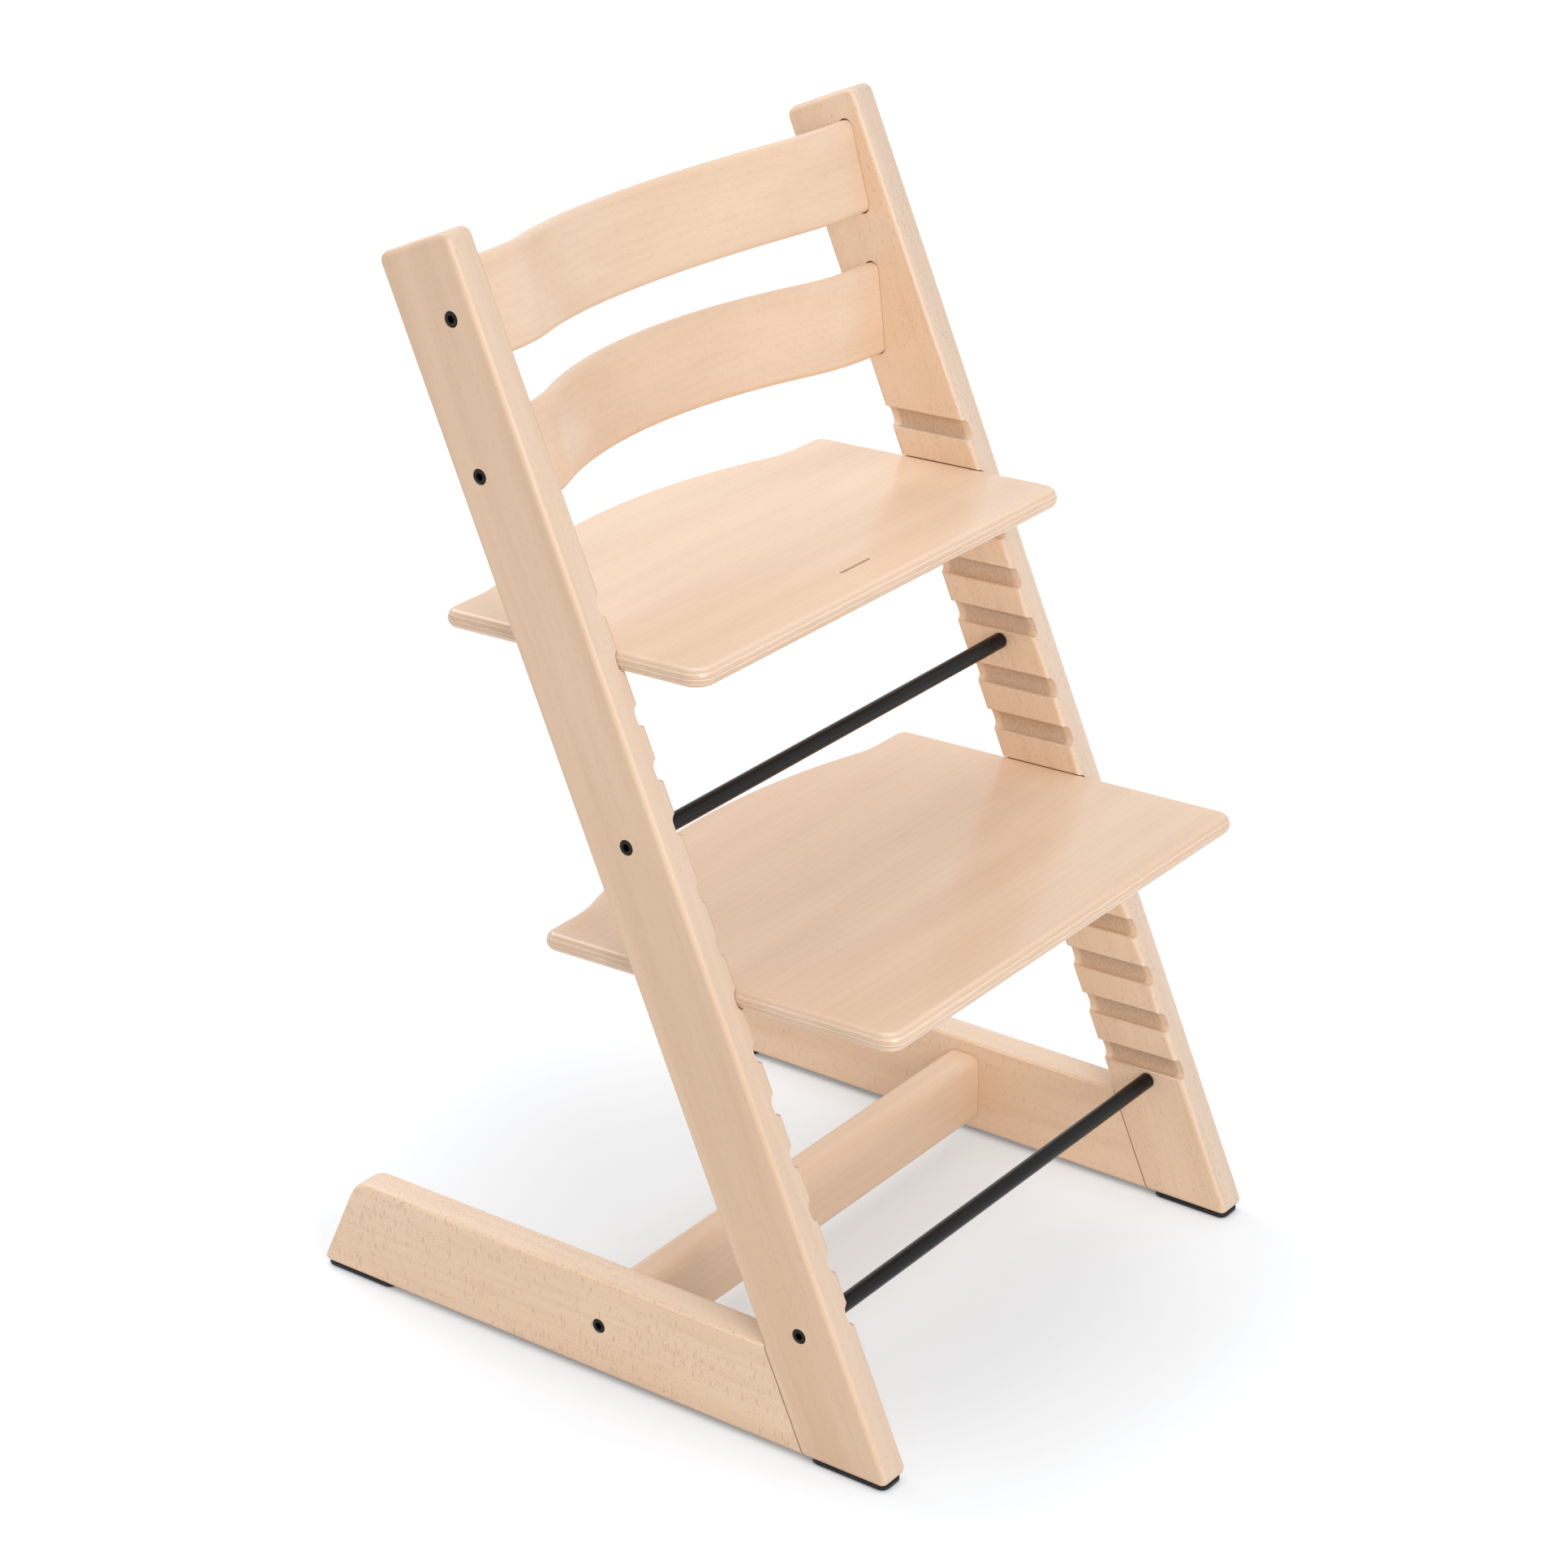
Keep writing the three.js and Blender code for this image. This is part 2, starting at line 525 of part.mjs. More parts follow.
// Drawn from above: a strip of even thickness that bows to the rear between straight ends.
function backrestGeometry() {
  const half = BACKREST_THICKNESS / 2;
  const bow = bowCurve(INNER_HALF_WIDTH - BACKREST_STRAIGHT_END, BACKREST_BOW, BACKREST_EASE_RADIUS);
  const strip = new THREE.Shape([
    new THREE.Vector2(BACKREST_END, -half),
    new THREE.Vector2(BACKREST_END, half),
    ...bowPoints(bow, half),
    new THREE.Vector2(-BACKREST_END, half),
    new THREE.Vector2(-BACKREST_END, -half),
    ...bowPoints(bow, -half).reverse(),
  ]);
  const reach = NUT_FROM_BACKREST_END + NUT_DIAMETER;
  const nutDepth = backrestNutLength + SEAT_GAP;
  const cutters = [-1, 1].flatMap((out) => [
    cylinder(SCREW_DIAMETER + 2 * SEAT_GAP, reach + CUT_MARGIN)
      .applyMatrix4(alongX)
      .translate(out * (BACKREST_END - (reach - CUT_MARGIN) / 2), 0, 0),
    cylinder(NUT_DIAMETER + 2 * SEAT_GAP, nutDepth + CUT_MARGIN)
      .applyMatrix4(drawnFromFront)
      .translate(out * backrestNutX, half - (nutDepth - CUT_MARGIN) / 2, 0),
  ]);
  const edgeRound = (BACKREST_THICKNESS - BACKREST_EDGE_FLAT) / 2;
  const board = prism(strip, BACKREST_HEIGHT, edgeRound, BOARD_EDGE_STEPS);
  return toGeometry(cutAll(board, cutters));
}

// A board with the barrel nuts and screws that hold it, turned as one group to the board's lean.
function backrest(name, spec, geometry) {
  const group = new THREE.Group();
  const { y, z } = backrestPlace(spec);
  group.position.set(0, TOE_Y + y, z);
  group.rotation.x = spec.lean - Math.PI / 2;
  const nutY = (BACKREST_THICKNESS - backrestNutLength) / 2 - SEAT_GAP / 2;
  const nut = barrelNutGeometry(backrestNutLength, nutY);
  group.add(
    namedMesh(name, geometry, solidBeech),
    ...eachSide((out, side) => [
      namedMesh(`${name}_nut_${side}`, nut, zincSteel, { x: out * backrestNutX, y: nutY }),
      screw(`${name}_screw_${side}`, out, BACKREST_SCREW_LENGTH),
    ]),
  );
  return group;
}

// ---------------------------------------------------------------- bars and brace

// Round bar with a tapped hole in each end; it is held by a screw through each upright.
function crossBar(name, place) {
  const end = INNER_HALF_WIDTH - SEAT_GAP;
  const radius = BAR_DIAMETER / 2;
  const bore = SCREW_DIAMETER / 2 + SEAT_GAP;
  const bottom = end - BAR_THREAD_DEPTH;
  const rightHalf = [
    [radius, end - BAR_CHAMFER],
    [radius - BAR_CHAMFER, end],
    [bore, end],
    [bore, bottom],
    [0, bottom],
  ];
  const leftHalf = rightHalf.map(([r, x]) => [r, -x]).reverse();
  const geometry = revolve([...leftHalf, ...rightHalf]).applyMatrix4(alongX);
  const group = new THREE.Group();
  group.position.set(0, TOE_Y + place.y, place.z);
  group.add(
    namedMesh(name, geometry, blackSteel),
    ...eachSide((out, side) => [screw(`${name}_screw_${side}`, out, BAR_SCREW_LENGTH)]),
  );
  return group;
}

// Beam between the floor rails, held at each end by a screw and kept from turning by a dowel.
function crossBrace() {
  const end = INNER_HALF_WIDTH - SEAT_GAP;
  const screwY = BRACE_SCREW.y - BRACE.y;
  const nutX = end - NUT_FROM_BRACE_END;
  const nutDepth = BRACE_NUT_LENGTH + SEAT_GAP;
  const screwReach = NUT_FROM_BRACE_END + NUT_DIAMETER;
  const dowelReach = BRACE_DOWEL_LENGTH / 2 + SEAT_GAP;
  const rear = BRACE_THICKNESS / 2;
  const beam = prism(rectangle(BRACE_THICKNESS, BRACE_HEIGHT, BRACE_EDGE_ROUND), 2 * end)
    .applyMatrix4(drawnFromSide);
  const cutters = [-1, 1].flatMap((out) => [
    cylinder(SCREW_DIAMETER + 2 * SEAT_GAP, screwReach + CUT_MARGIN)
      .applyMatrix4(alongX)
      .translate(out * (end - (screwReach - CUT_MARGIN) / 2), screwY, BRACE_SCREW_RISE),
    cylinder(NUT_DIAMETER + 2 * SEAT_GAP, nutDepth + CUT_MARGIN)
      .applyMatrix4(drawnFromFront)
      .translate(out * nutX, rear - (nutDepth - CUT_MARGIN) / 2, BRACE_SCREW_RISE),
    cylinder(BRACE_DOWEL_DIAMETER + 2 * SEAT_GAP, dowelReach + CUT_MARGIN)
      .applyMatrix4(alongX)
      .translate(out * (end - (dowelReach - CUT_MARGIN) / 2), 0, -BRACE_DOWEL_DROP),
  ]);
  const nutY = rear - BRACE_NUT_LENGTH / 2 - SEAT_GAP / 2;
  const nut = barrelNutGeometry(BRACE_NUT_LENGTH, nutY - screwY);
  const dowel = cylinder(BRACE_DOWEL_DIAMETER, BRACE_DOWEL_LENGTH - SEAT_GAP).applyMatrix4(alongX);
  const group = new THREE.Group();
  group.position.set(0, TOE_Y + BRACE.y, BRACE.z);
  group.add(
    namedMesh('cross_brace', toGeometry(cutAll(beam, cutters)), solidBeech),
    ...eachSide((out, side) => [
      namedMesh(`cross_brace_nut_${side}`, nut, zincSteel, {
        x: out * nutX, y: nutY, z: BRACE_SCREW_RISE,
      }),
      namedMesh(`cross_brace_dowel_${side}`, dowel, dowelBeech, {
        x: out * INNER_HALF_WIDTH, z: -BRACE_DOWEL_DROP,
      }),
      screw(`cross_brace_screw_${side}`, out, BRACE_SCREW_LENGTH, { y: screwY, z: BRACE_SCREW_RISE }),
    ]),
  );
  return group;
}

// ---------------------------------------------------------------- hardware

// Pieces for the left (out = -1) and the right (out = +1) of the chair.
const eachSide = (make) => [[-1, 'left'], [1, 'right']].flatMap(([out, side]) => make(out, side));

// Socket-head screw: z = 0 on top of the head, the shank towards -z.
function screwGeometry(length) {
  const head = SCREW_HEAD_DIAMETER / 2;
  const shank = SCREW_DIAMETER / 2;
  const tip = -SCREW_HEAD_HEIGHT - length;
  const body = revolve([
    [0, tip],
    [shank - SCREW_HEAD_CHAMFER, tip],
    [shank, tip + SCREW_HEAD_CHAMFER],
    [shank, -SCREW_HEAD_HEIGHT],
    [head, -SCREW_HEAD_HEIGHT],
    [head, -SCREW_HEAD_CHAMFER],
    [head - SCREW_HEAD_CHAMFER, 0],
    [0, 0],
  ]);
  const acrossCorners = HEX_KEY / Math.cos(Math.PI / HEX_SIDES);
  const socket = cylinder(acrossCorners, HEX_SOCKET_DEPTH + CUT_MARGIN, HEX_SIDES)
    .translate(0, 0, (CUT_MARGIN - HEX_SOCKET_DEPTH) / 2);
  return toGeometry(cutAll(body, [socket]));
}

// A screw whose head lies flush with the outer face of the side it goes through.
function screw(name, out, length, place = {}) {
  const mesh = namedMesh(name, screwGeometry(length), blackSteel, { ...place, x: out * OVERALL_WIDTH / 2 });
  mesh.rotation.y = out * Math.PI / 2;
  return mesh;
}

// Barrel nut along y, cross-drilled for the screw `fromHole` ahead of its middle, slotted at the rear.
function barrelNutGeometry(length, fromHole) {
  const barrel = cylinder(NUT_DIAMETER, length).applyMatrix4(drawnFromFront);
  const hole = cylinder(SCREW_DIAMETER + 2 * SEAT_GAP, NUT_DIAMETER + 2 * CUT_MARGIN)
    .applyMatrix4(alongX)
    .translate(0, -fromHole, 0);
  const slot = new THREE.BoxGeometry(NUT_DIAMETER + 2 * CUT_MARGIN, 2 * NUT_SLOT, NUT_SLOT)
    .translate(0, length / 2, 0);
  return toGeometry(cutAll(barrel, [hole, slot]));
}

// ---------------------------------------------------------------- assembly

const backrestBoard = backrestGeometry();

const chair = new THREE.Group();
chair.add(
  ...eachSide((out, side) => [sideFrame(out, side)]),
  backrest('backrest_upper', UPPER_BACKREST, backrestBoard),
  backrest('backrest_lower', LOWER_BACKREST, backrestBoard),
  slidingPlate('seat_plate', SEAT, SEAT_GROOVE, [strapSlotCutter()]),
  slidingPlate('foot_plate', FOOT, FOOT_GROOVE),
  crossBar('upper_cross_bar', UPPER_BAR),
  crossBar('lower_cross_bar', LOWER_BAR),
  crossBrace(),
);

export default chair;
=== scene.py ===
"""Finished surfaces, materials and studio for a wooden high chair with grooved side uprights."""

import math

import bmesh
import bpy
import numpy as np
from bpy.props import FloatProperty, FloatVectorProperty, PointerProperty
from bpy.types import Operator, Panel, PropertyGroup
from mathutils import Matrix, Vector


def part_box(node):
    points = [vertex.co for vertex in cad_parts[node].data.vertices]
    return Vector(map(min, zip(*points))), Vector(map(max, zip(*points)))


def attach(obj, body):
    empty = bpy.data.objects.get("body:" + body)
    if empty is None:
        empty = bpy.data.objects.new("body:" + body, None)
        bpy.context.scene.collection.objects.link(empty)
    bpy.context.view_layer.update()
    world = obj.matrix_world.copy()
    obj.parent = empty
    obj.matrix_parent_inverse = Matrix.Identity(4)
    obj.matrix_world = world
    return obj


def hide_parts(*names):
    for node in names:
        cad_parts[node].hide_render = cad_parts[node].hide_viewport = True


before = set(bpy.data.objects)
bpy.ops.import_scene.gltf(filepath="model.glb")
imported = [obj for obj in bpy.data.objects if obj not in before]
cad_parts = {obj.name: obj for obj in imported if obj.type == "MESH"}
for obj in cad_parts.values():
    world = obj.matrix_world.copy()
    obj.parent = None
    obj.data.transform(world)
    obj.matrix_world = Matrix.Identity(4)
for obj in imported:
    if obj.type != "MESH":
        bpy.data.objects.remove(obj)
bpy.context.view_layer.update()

bl_info = {
    "name": "Grooved high chair",
    "version": (1, 0, 0),
    "blender": (4, 5, 0),
    "location": "View3D > Sidebar > High chair",
    "description": "Makes the finished timber, boards, steel and studio of a wooden high chair",
    "category": "Add Mesh",
}

MM = 0.001

# attributes of the timbers' and boards' vertices
LAY = "lay"  # metres along the grain, across the rings and through them
SEAM = "seam"  # metres from the joint of upright and rail, and above the rail

# facets
CREASE = 35  # degrees between facets past which an edge stays sharp
TIMBER_CREASE = 50  # the same on rails and brace, whose rounds turn by 45 between facets
FLAT = 0.2  # degrees under which two facets of a CAD face count as one
CORNER_STEPS = 14  # points on each corner arc of a plate
BOW_STEPS = 60  # points on a plate's rear bow
NOSE_STEPS = 9  # points on each quarter round of a plate's edge
SLOT_STEPS = 9  # points on each round end of the strap slot
BAR_SIDES = 64  # points round a cross bar

# where each piece's figure starts along the grain, in metres, so that no two look alike
UPRIGHT_FIGURE, RAIL_FIGURE, BRACE_FIGURE, PLATE_FIGURE, BACKREST_FIGURE = 0, 3, 6, 9, 12

# spots in a metre of each pattern, along the grain, across the rings and through them
WANDER = (2.2, 9, 9)
BANDS = (1.8, 24, 24)
STREAKS = (7, 300, 300)
MOTTLE = (340, 900, 900)
SWAY = (80, 80, 80)
CROWDS = (14, 32, 32)
DOTS = (430, 800, 520)
TOOL_MARKS = (420, 700, 700)
PLY_WAVE = (14, 14, 0)
PLY_BREAKS = (45, 45, 700)

GRAIN_DEPTH = 0.12 * MM  # height of the grain's bump
PAINTED_SHEEN = (0.93, 1.0, 1.1)  # painted sheen: what the faces of a timber turned from the sides multiply its tones by, paler and cooler
PAINTED_SHADE_RIGHT = (0.84, 0.9, 1.0)  # the same on the right upright, darker: painted shade
UNGROOVED = 1.0  # an inner face that no point of a rail lies beyond, in metres

# the stage
AIM = (0, 0, 0.4)  # where the lamps point
LAMPS = (  # name, place, side and watts
    ("key", (-1.6, -3.4, 2.2), 2.2, 84),
    ("rear", (0.3, 3.2, 3.2), 2.2, 56),
    ("top", (0.4, 0.6, 4.2), 3.0, 46),
)
SENSOR = 36  # millimetres
FLOOR_DROP = 0.2 * MM  # the floor lies this far under the glides
PAINTED_CONTACT_HEIGHT = 0.011  # height over the floor within which a piece dims the floor's glow, a painted contact shadow
SHADE_RADII = (0.34, 0.36)  # of the ellipse round the chair in which the floor's glow dims
MATT_FLOOR = (0.84, 0.84, 0.84)  # as the object's light meets it
SEEN_FLOOR = (0.486, 0.507, 0.532)  # as the camera sees it, before its glow


# ------------------------------------------------------------------ settings


def size(name, description, default, **more):
    """A length property, in metres."""
    return FloatProperty(
        name=name, description=description, default=default, unit="LENGTH", precision=4, **more
    )


def tint(name, description, default):
    """A colour property, held as linear red, green and blue."""
    return FloatVectorProperty(
        name=name, description=description, default=default, size=3, subtype="COLOR", min=0, max=1
    )


def share(name, description, default):
    """A number from 0 to 1."""
    return FloatProperty(
        name=name, description=description, default=default, min=0, max=1, subtype="FACTOR"
    )


def srgb(red, green, blue):
    """Linear colour of a display colour given as 0 to 255."""
    display = np.array([red, green, blue]) / 255
    return tuple(
        np.where(display <= 0.04045, display / 12.92, ((display + 0.055) / 1.055) ** 2.4).tolist()
    )


class ChairSizes(PropertyGroup):
    """Sizes of the new surfaces; places come from the frame."""

    lean: FloatProperty(
        name="Upright lean",
        description="Angle of the uprights above the floor",
        default=math.radians(66.44),
        subtype="ANGLE",
    )
    plate_tilt: FloatProperty(
        name="Plate tilt",
        description="How far the plates rise towards the front",
        default=math.radians(1.75),
        subtype="ANGLE",
    )
    plate_thickness: size("Plate thickness", "Plywood of the seat and foot plate", 13.5 * MM)
    plate_nose: size("Plate nose", "Radius of the rounded edge round each plate", 6.5 * MM)
    seat_corner: size("Seat corner", "Plan radius of the seat's front corners", 16 * MM)
    seat_wing: size("Seat wing", "Level rear edge beside each upright's inner face", 28 * MM)
    seat_bulge: size("Seat bulge", "How far the seat's rear bows out", 33.5 * MM)
    foot_corner: size("Foot corner", "Plan radius of the foot plate's front corners", 13.5 * MM)
    foot_wing: size("Foot wing", "Level rear edge beside each upright's inner face", 27.5 * MM)
    foot_bulge: size("Foot bulge", "How far the foot plate's rear bows out", 28.2 * MM)
    wing_corner: size("Wing corner", "Plan radius of each plate's rear corners", 10.5 * MM)
    plate_ease: size("Plate ease", "Hollow plan curve from a wing to the rear bulge", 75 * MM)
    slot_length: size("Strap slot length", "Length of the slot through the seat", 34 * MM)
    slot_width: size("Strap slot width", "Width of the slot through the seat", 2.5 * MM)
    slot_setback: size("Strap slot setback", "Slot behind the seat's front edge", 32 * MM)
    bar_chamfer: size("Bar chamfer", "Chamfer at each end of a cross bar", 0.8 * MM)


class ChairFinish(PropertyGroup):
    """Colours and sheens."""

    timber_light: tint("Timber, light", "Palest tone of the solid beech", srgb(232, 201, 172))
    timber_dark: tint("Timber, dark", "Deepest tone of the solid beech", srgb(218, 184, 153))
    pale_light: tint("Pale timber, light", "Palest tone of the paler timbers", srgb(242, 212, 183))
    pale_dark: tint("Pale timber, dark", "Deepest tone of the paler timbers", srgb(230, 197, 166))
    board_light: tint("Board, light", "Palest tone of backrests and brace", srgb(230, 202, 176))
    board_dark: tint("Board, dark", "Deepest tone of backrests and brace", srgb(220, 189, 161))
    veneer_light: tint("Veneer, light", "Palest tone of the beech veneer", srgb(237, 209, 183))
    veneer_dark: tint("Veneer, dark", "Deepest tone of the beech veneer", srgb(227, 196, 168))
    fleck: tint("Ray fleck", "Colour of the small dashes in beech", srgb(184, 138, 102))
    # partly painted shade in the grooves' recess, over the bare routed timber's own darker tone
    groove: tint("Groove", "Bare timber inside the grooves", srgb(208, 177, 148))
    glue_line: tint("Glue line", "Colour between plies and in the joints", srgb(128, 88, 60))
    black: tint("Black coating", "Coating of the bars and screws", srgb(13, 13, 14))
    zinc: tint("Zinc", "Plating of the barrel nuts", srgb(190, 192, 194))
    plastic: tint("Glide plastic", "Moulded plastic of the glides", srgb(18, 18, 19))
    lacquer: share("Timber roughness", "Roughness of the lacquered uprights and rails", 0.42)
    board_lacquer: share("Board roughness", "Roughness of the backrests and the brace", 0.3)
    plate_lacquer: share("Plate roughness", "Roughness of the seat and foot plate", 0.21)


class ChairStage(PropertyGroup):
    """Camera, lamps and floor."""

    camera_at: FloatVectorProperty(
        name="Camera",
        description="Place of the camera",
        default=(-2.0454, -1.49597, 1.5093),
        size=3,
        unit="LENGTH",
    )
    camera_to: FloatVectorProperty(
        name="Aim",
        description="Point that the camera looks at",
        default=(-0.01245, -0.00483, 0.36665),
        size=3,
        unit="LENGTH",
    )
    lens: FloatProperty(
        name="Lens", description="Focal length on a 36 mm sensor, in millimetres", default=92.48
    )
    floor_size: size("Floor size", "Side of the square floor", 40.0)
    sky: share("Sky", "Strength of the even white light", 0.55)


# ------------------------------------------------------------------ surfaces as arrays


def arc(centre, radius, start, end, steps, outward=1):
    """Points and outward normals of a plan arc: centre plus radius times (cos a, sin a) for even
    steps of the angle a from start to end, in degrees. outward is -1 on a hollow arc."""
    a = np.radians(np.linspace(start, end, steps))
    unit = np.stack([np.cos(a), np.sin(a)], axis=1)
    return np.asarray(centre) + radius * unit, outward * unit


def bow(half_span, rise, ease, steps):
    """Points and outward normals of a bow between straight ends, from +x to -x.

    Both curves turn by twice atan(rise / half_span), so they share a tangent where they meet. The
    middle radius is half_span / sin(turn) less the ease radius."""
    turn = 2 * math.atan(rise / half_span)
    radius = half_span / math.sin(turn) - ease
    turn = math.degrees(turn)
    short = max(4, steps // 3)
    parts = [
        arc((half_span, ease), ease, -90, -90 - turn, short, -1),
        arc((0, rise - radius), radius, 90 - turn, 90 + turn, steps),
        arc((-half_span, ease), ease, -90 + turn, -90, short, -1),
    ]
    points = np.concatenate([parts[0][0], parts[1][0][1:], parts[2][0][1:]])
    normals = np.concatenate([parts[0][1], parts[1][1][1:], parts[2][1][1:]])
    return points, normals


def nose_profile(thickness, radius, steps):
    """Inset and height of a rounded edge from the top face to the bottom one: the inset is radius
    times (1 - cos a) and the height is radius times sin a, moved out by half of what the two
    quarter rounds leave of the thickness, for a from 90 to -90 degrees."""
    a = np.radians(np.linspace(90, -90, 2 * steps))
    flat = thickness / 2 - radius
    return radius * (1 - np.cos(a)), radius * np.sin(a) + np.sign(np.sin(a)) * flat


def ring_faces(rings, points):
    """Quads between neighbouring rings of a (rings, points) grid, each ring closed on itself."""
    ring, point = np.meshgrid(np.arange(rings - 1), np.arange(points), indexing="ij")
    ahead = (point + 1) % points
    a = ring * points + point
    b = ring * points + ahead
    return np.stack([a, b, b + points, a + points], axis=-1).reshape(-1, 4)


def turned(points, angle, about):
    """Points turned about a line along X through `about`: y and z go round by the angle."""
    c, s = math.cos(angle), math.sin(angle)
    x, y, z = np.moveaxis(points - about, -1, 0)
    return np.stack([x, c * y - s * z, s * y + c * z], axis=-1) + about


def new_piece(name, points, faces):
    """A mesh object at the origin from an array of points and a list of faces."""
    mesh = bpy.data.meshes.new(name)
    mesh.from_pydata(np.asarray(points, float).reshape(-1, 3).tolist(), [], faces)
    mesh.update()
    return placed(name, mesh)


def placed(name, data):
    """An object of that name and data in the scene."""
    thing = bpy.data.objects.new(name, data)
    bpy.context.scene.collection.objects.link(thing)
    return thing


def points_of(mesh):
    """The mesh's vertices as an array."""
    flat = np.empty(3 * len(mesh.vertices), np.float32)
    mesh.vertices.foreach_get("co", flat)
    return flat.reshape(-1, 3).astype(float)


def write_vectors(mesh, name, *columns):
    """Stores a vector for each vertex, from three columns, under that attribute's name."""
    layer = mesh.attributes.new(name, "FLOAT_VECTOR", "POINT")
    vectors = np.stack(columns, axis=1)
    layer.data.foreach_set("vector", np.ascontiguousarray(vectors, np.float32).ravel())


def face_outwards(mesh):
    """Turns a closed mesh's faces outwards."""
    build = bmesh.new()
    build.from_mesh(mesh)
    bmesh.ops.recalc_face_normals(build, faces=build.faces)
    build.to_mesh(mesh)
    build.free()


def finish_piece(piece, body, material, slot, *nodes, crease=CREASE):
    """Smooths a piece between its creases, gives it its finish and seats it on its body."""
    mesh = piece.data
    mesh.materials.clear()
    mesh.materials.append(material)
    mesh.shade_smooth()
    mesh.set_sharp_from_angle(angle=math.radians(crease))
    weighted = piece.modifiers.new("even normals", "WEIGHTED_NORMAL")
    weighted.keep_sharp = True
    weighted.weight = 90
    if nodes:
        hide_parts(*nodes)
    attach(piece, body)


def merged_copy(node, name):
    """A copy of a CAD node with its doubled vertices merged."""
    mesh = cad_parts[node].data.copy()
    mesh.name = name
    build = bmesh.new()
    build.from_mesh(mesh)
    bmesh.ops.remove_doubles(build, verts=build.verts, dist=1e-6)
    bmesh.ops.dissolve_limit(
        build, angle_limit=math.radians(FLAT), verts=build.verts, edges=build.edges
    )
    build.to_mesh(mesh)
    build.free()
    return placed(name, mesh)


# ------------------------------------------------------------------ node groups


class Nodes:
    """Short hand for adding nodes to a tree and joining them.

    An input is given by its name, with _ for a space, or by its number after an i."""

    def __init__(self, tree):
        self.tree = tree

    def add(self, kind, settings=None, **inputs):
        """A new node with its settings and inputs."""
        node = self.tree.nodes.new(kind)
        for key, value in (settings or {}).items():
            setattr(node, key, value)
        for key, value in inputs.items():
            self.feed(node, key, value)
        return node

    def feed(self, node, key, value):
        """Links an output to a node's input, or sets the input."""
        numbered = key[0] == "i" and key[1:].isdigit()
        slot = node.inputs[int(key[1:]) if numbered else key.replace("_", " ")]
        if isinstance(value, bpy.types.NodeSocket):
            self.tree.links.new(value, slot)
        elif slot.type == "RGBA" and len(value) == 3:
            slot.default_value = (*value, 1)
        else:
            slot.default_value = value

    def math(self, operation, first, second=0.0, third=0.0, clamp=False):
        """One sum on up to three values."""
        settings = {"operation": operation, "use_clamp": clamp}
        return self.add("ShaderNodeMath", settings, i0=first, i1=second, i2=third).outputs[0]

    def times(self, first, second):
        return self.math("MULTIPLY", first, second)

    def size_of(self, value):
        return self.math("ABSOLUTE", value)

    def vector(self, operation, first, second):
        """One sum on two vectors."""
        settings = {"operation": operation}
        return self.add("ShaderNodeVectorMath", settings, i0=first, i1=second).outputs[0]

    def parts(self, vector):
        """The three parts of a vector."""
        return self.add("ShaderNodeSeparateXYZ", i0=vector).outputs

    def mix(self, factor, first, second, blend="MIX"):
        """The second colour over the first."""
        node = self.add("ShaderNodeMix", {"data_type": "RGBA", "blend_type": blend})
        for index, value in ((0, factor), (6, first), (7, second)):
            self.feed(node, f"i{index}", value)
        return node.outputs[2]

    def noise(self, vector, scale, detail=3.0, roughness=0.55):
        inputs = {"Vector": vector, "Scale": scale, "Detail": detail, "Roughness": roughness}
        return self.add("ShaderNodeTexNoise", **inputs).outputs[0]

    def grained(self, lay, stretch, detail=3.0, roughness=0.55):
        """Noise that is stretched along the grain."""
        return self.noise(self.vector("MULTIPLY", lay, stretch), 1.0, detail, roughness)

    def cells(self, vector):
        """Distance from the middle of an uneven lattice's cell, and the cell's three chances."""
        node = self.add("ShaderNodeTexVoronoi", {"feature": "F1"}, Vector=vector, Scale=1.0)
        chances = self.add("ShaderNodeSeparateColor", i0=node.outputs["Color"]).outputs
        return node.outputs["Distance"], chances

    def step(self, value, low, high, to_low=0.0, to_high=1.0):
        """Smooth step of a value from low to high."""
        numbers = {"i1": low, "i2": high, "i3": to_low, "i4": to_high}
        settings = {"interpolation_type": "SMOOTHSTEP"}
        return self.add("ShaderNodeMapRange", settings, i0=value, **numbers).outputs[0]

    def seen(self):
        """1 on rays from the camera and in reflections and glass, else 0."""
        rays = self.add("ShaderNodeLightPath").outputs
        mirrored = self.math("MAXIMUM", rays["Is Glossy Ray"], rays["Is Transmission Ray"])
        return self.math("MAXIMUM", rays["Is Camera Ray"], mirrored)


def new_group(name, inputs, outputs):
    """An empty shader node group with named sockets; returns the helper, its input and output."""
    tree = bpy.data.node_groups.new(name, "ShaderNodeTree")
    kinds = {"vector": "NodeSocketVector", "colour": "NodeSocketColor", "value": "NodeSocketFloat"}
    for label, kind, default in inputs:
        socket = tree.interface.new_socket(label, in_out="INPUT", socket_type=kinds[kind])
        if default is not None:
            socket.default_value = (*default, 1) if kind == "colour" else default
    for label, kind in outputs:
        tree.interface.new_socket(label, in_out="OUTPUT", socket_type=kinds[kind])
    nodes = Nodes(tree)
    return nodes, nodes.add("NodeGroupInput").outputs, nodes.add("NodeGroupOutput")


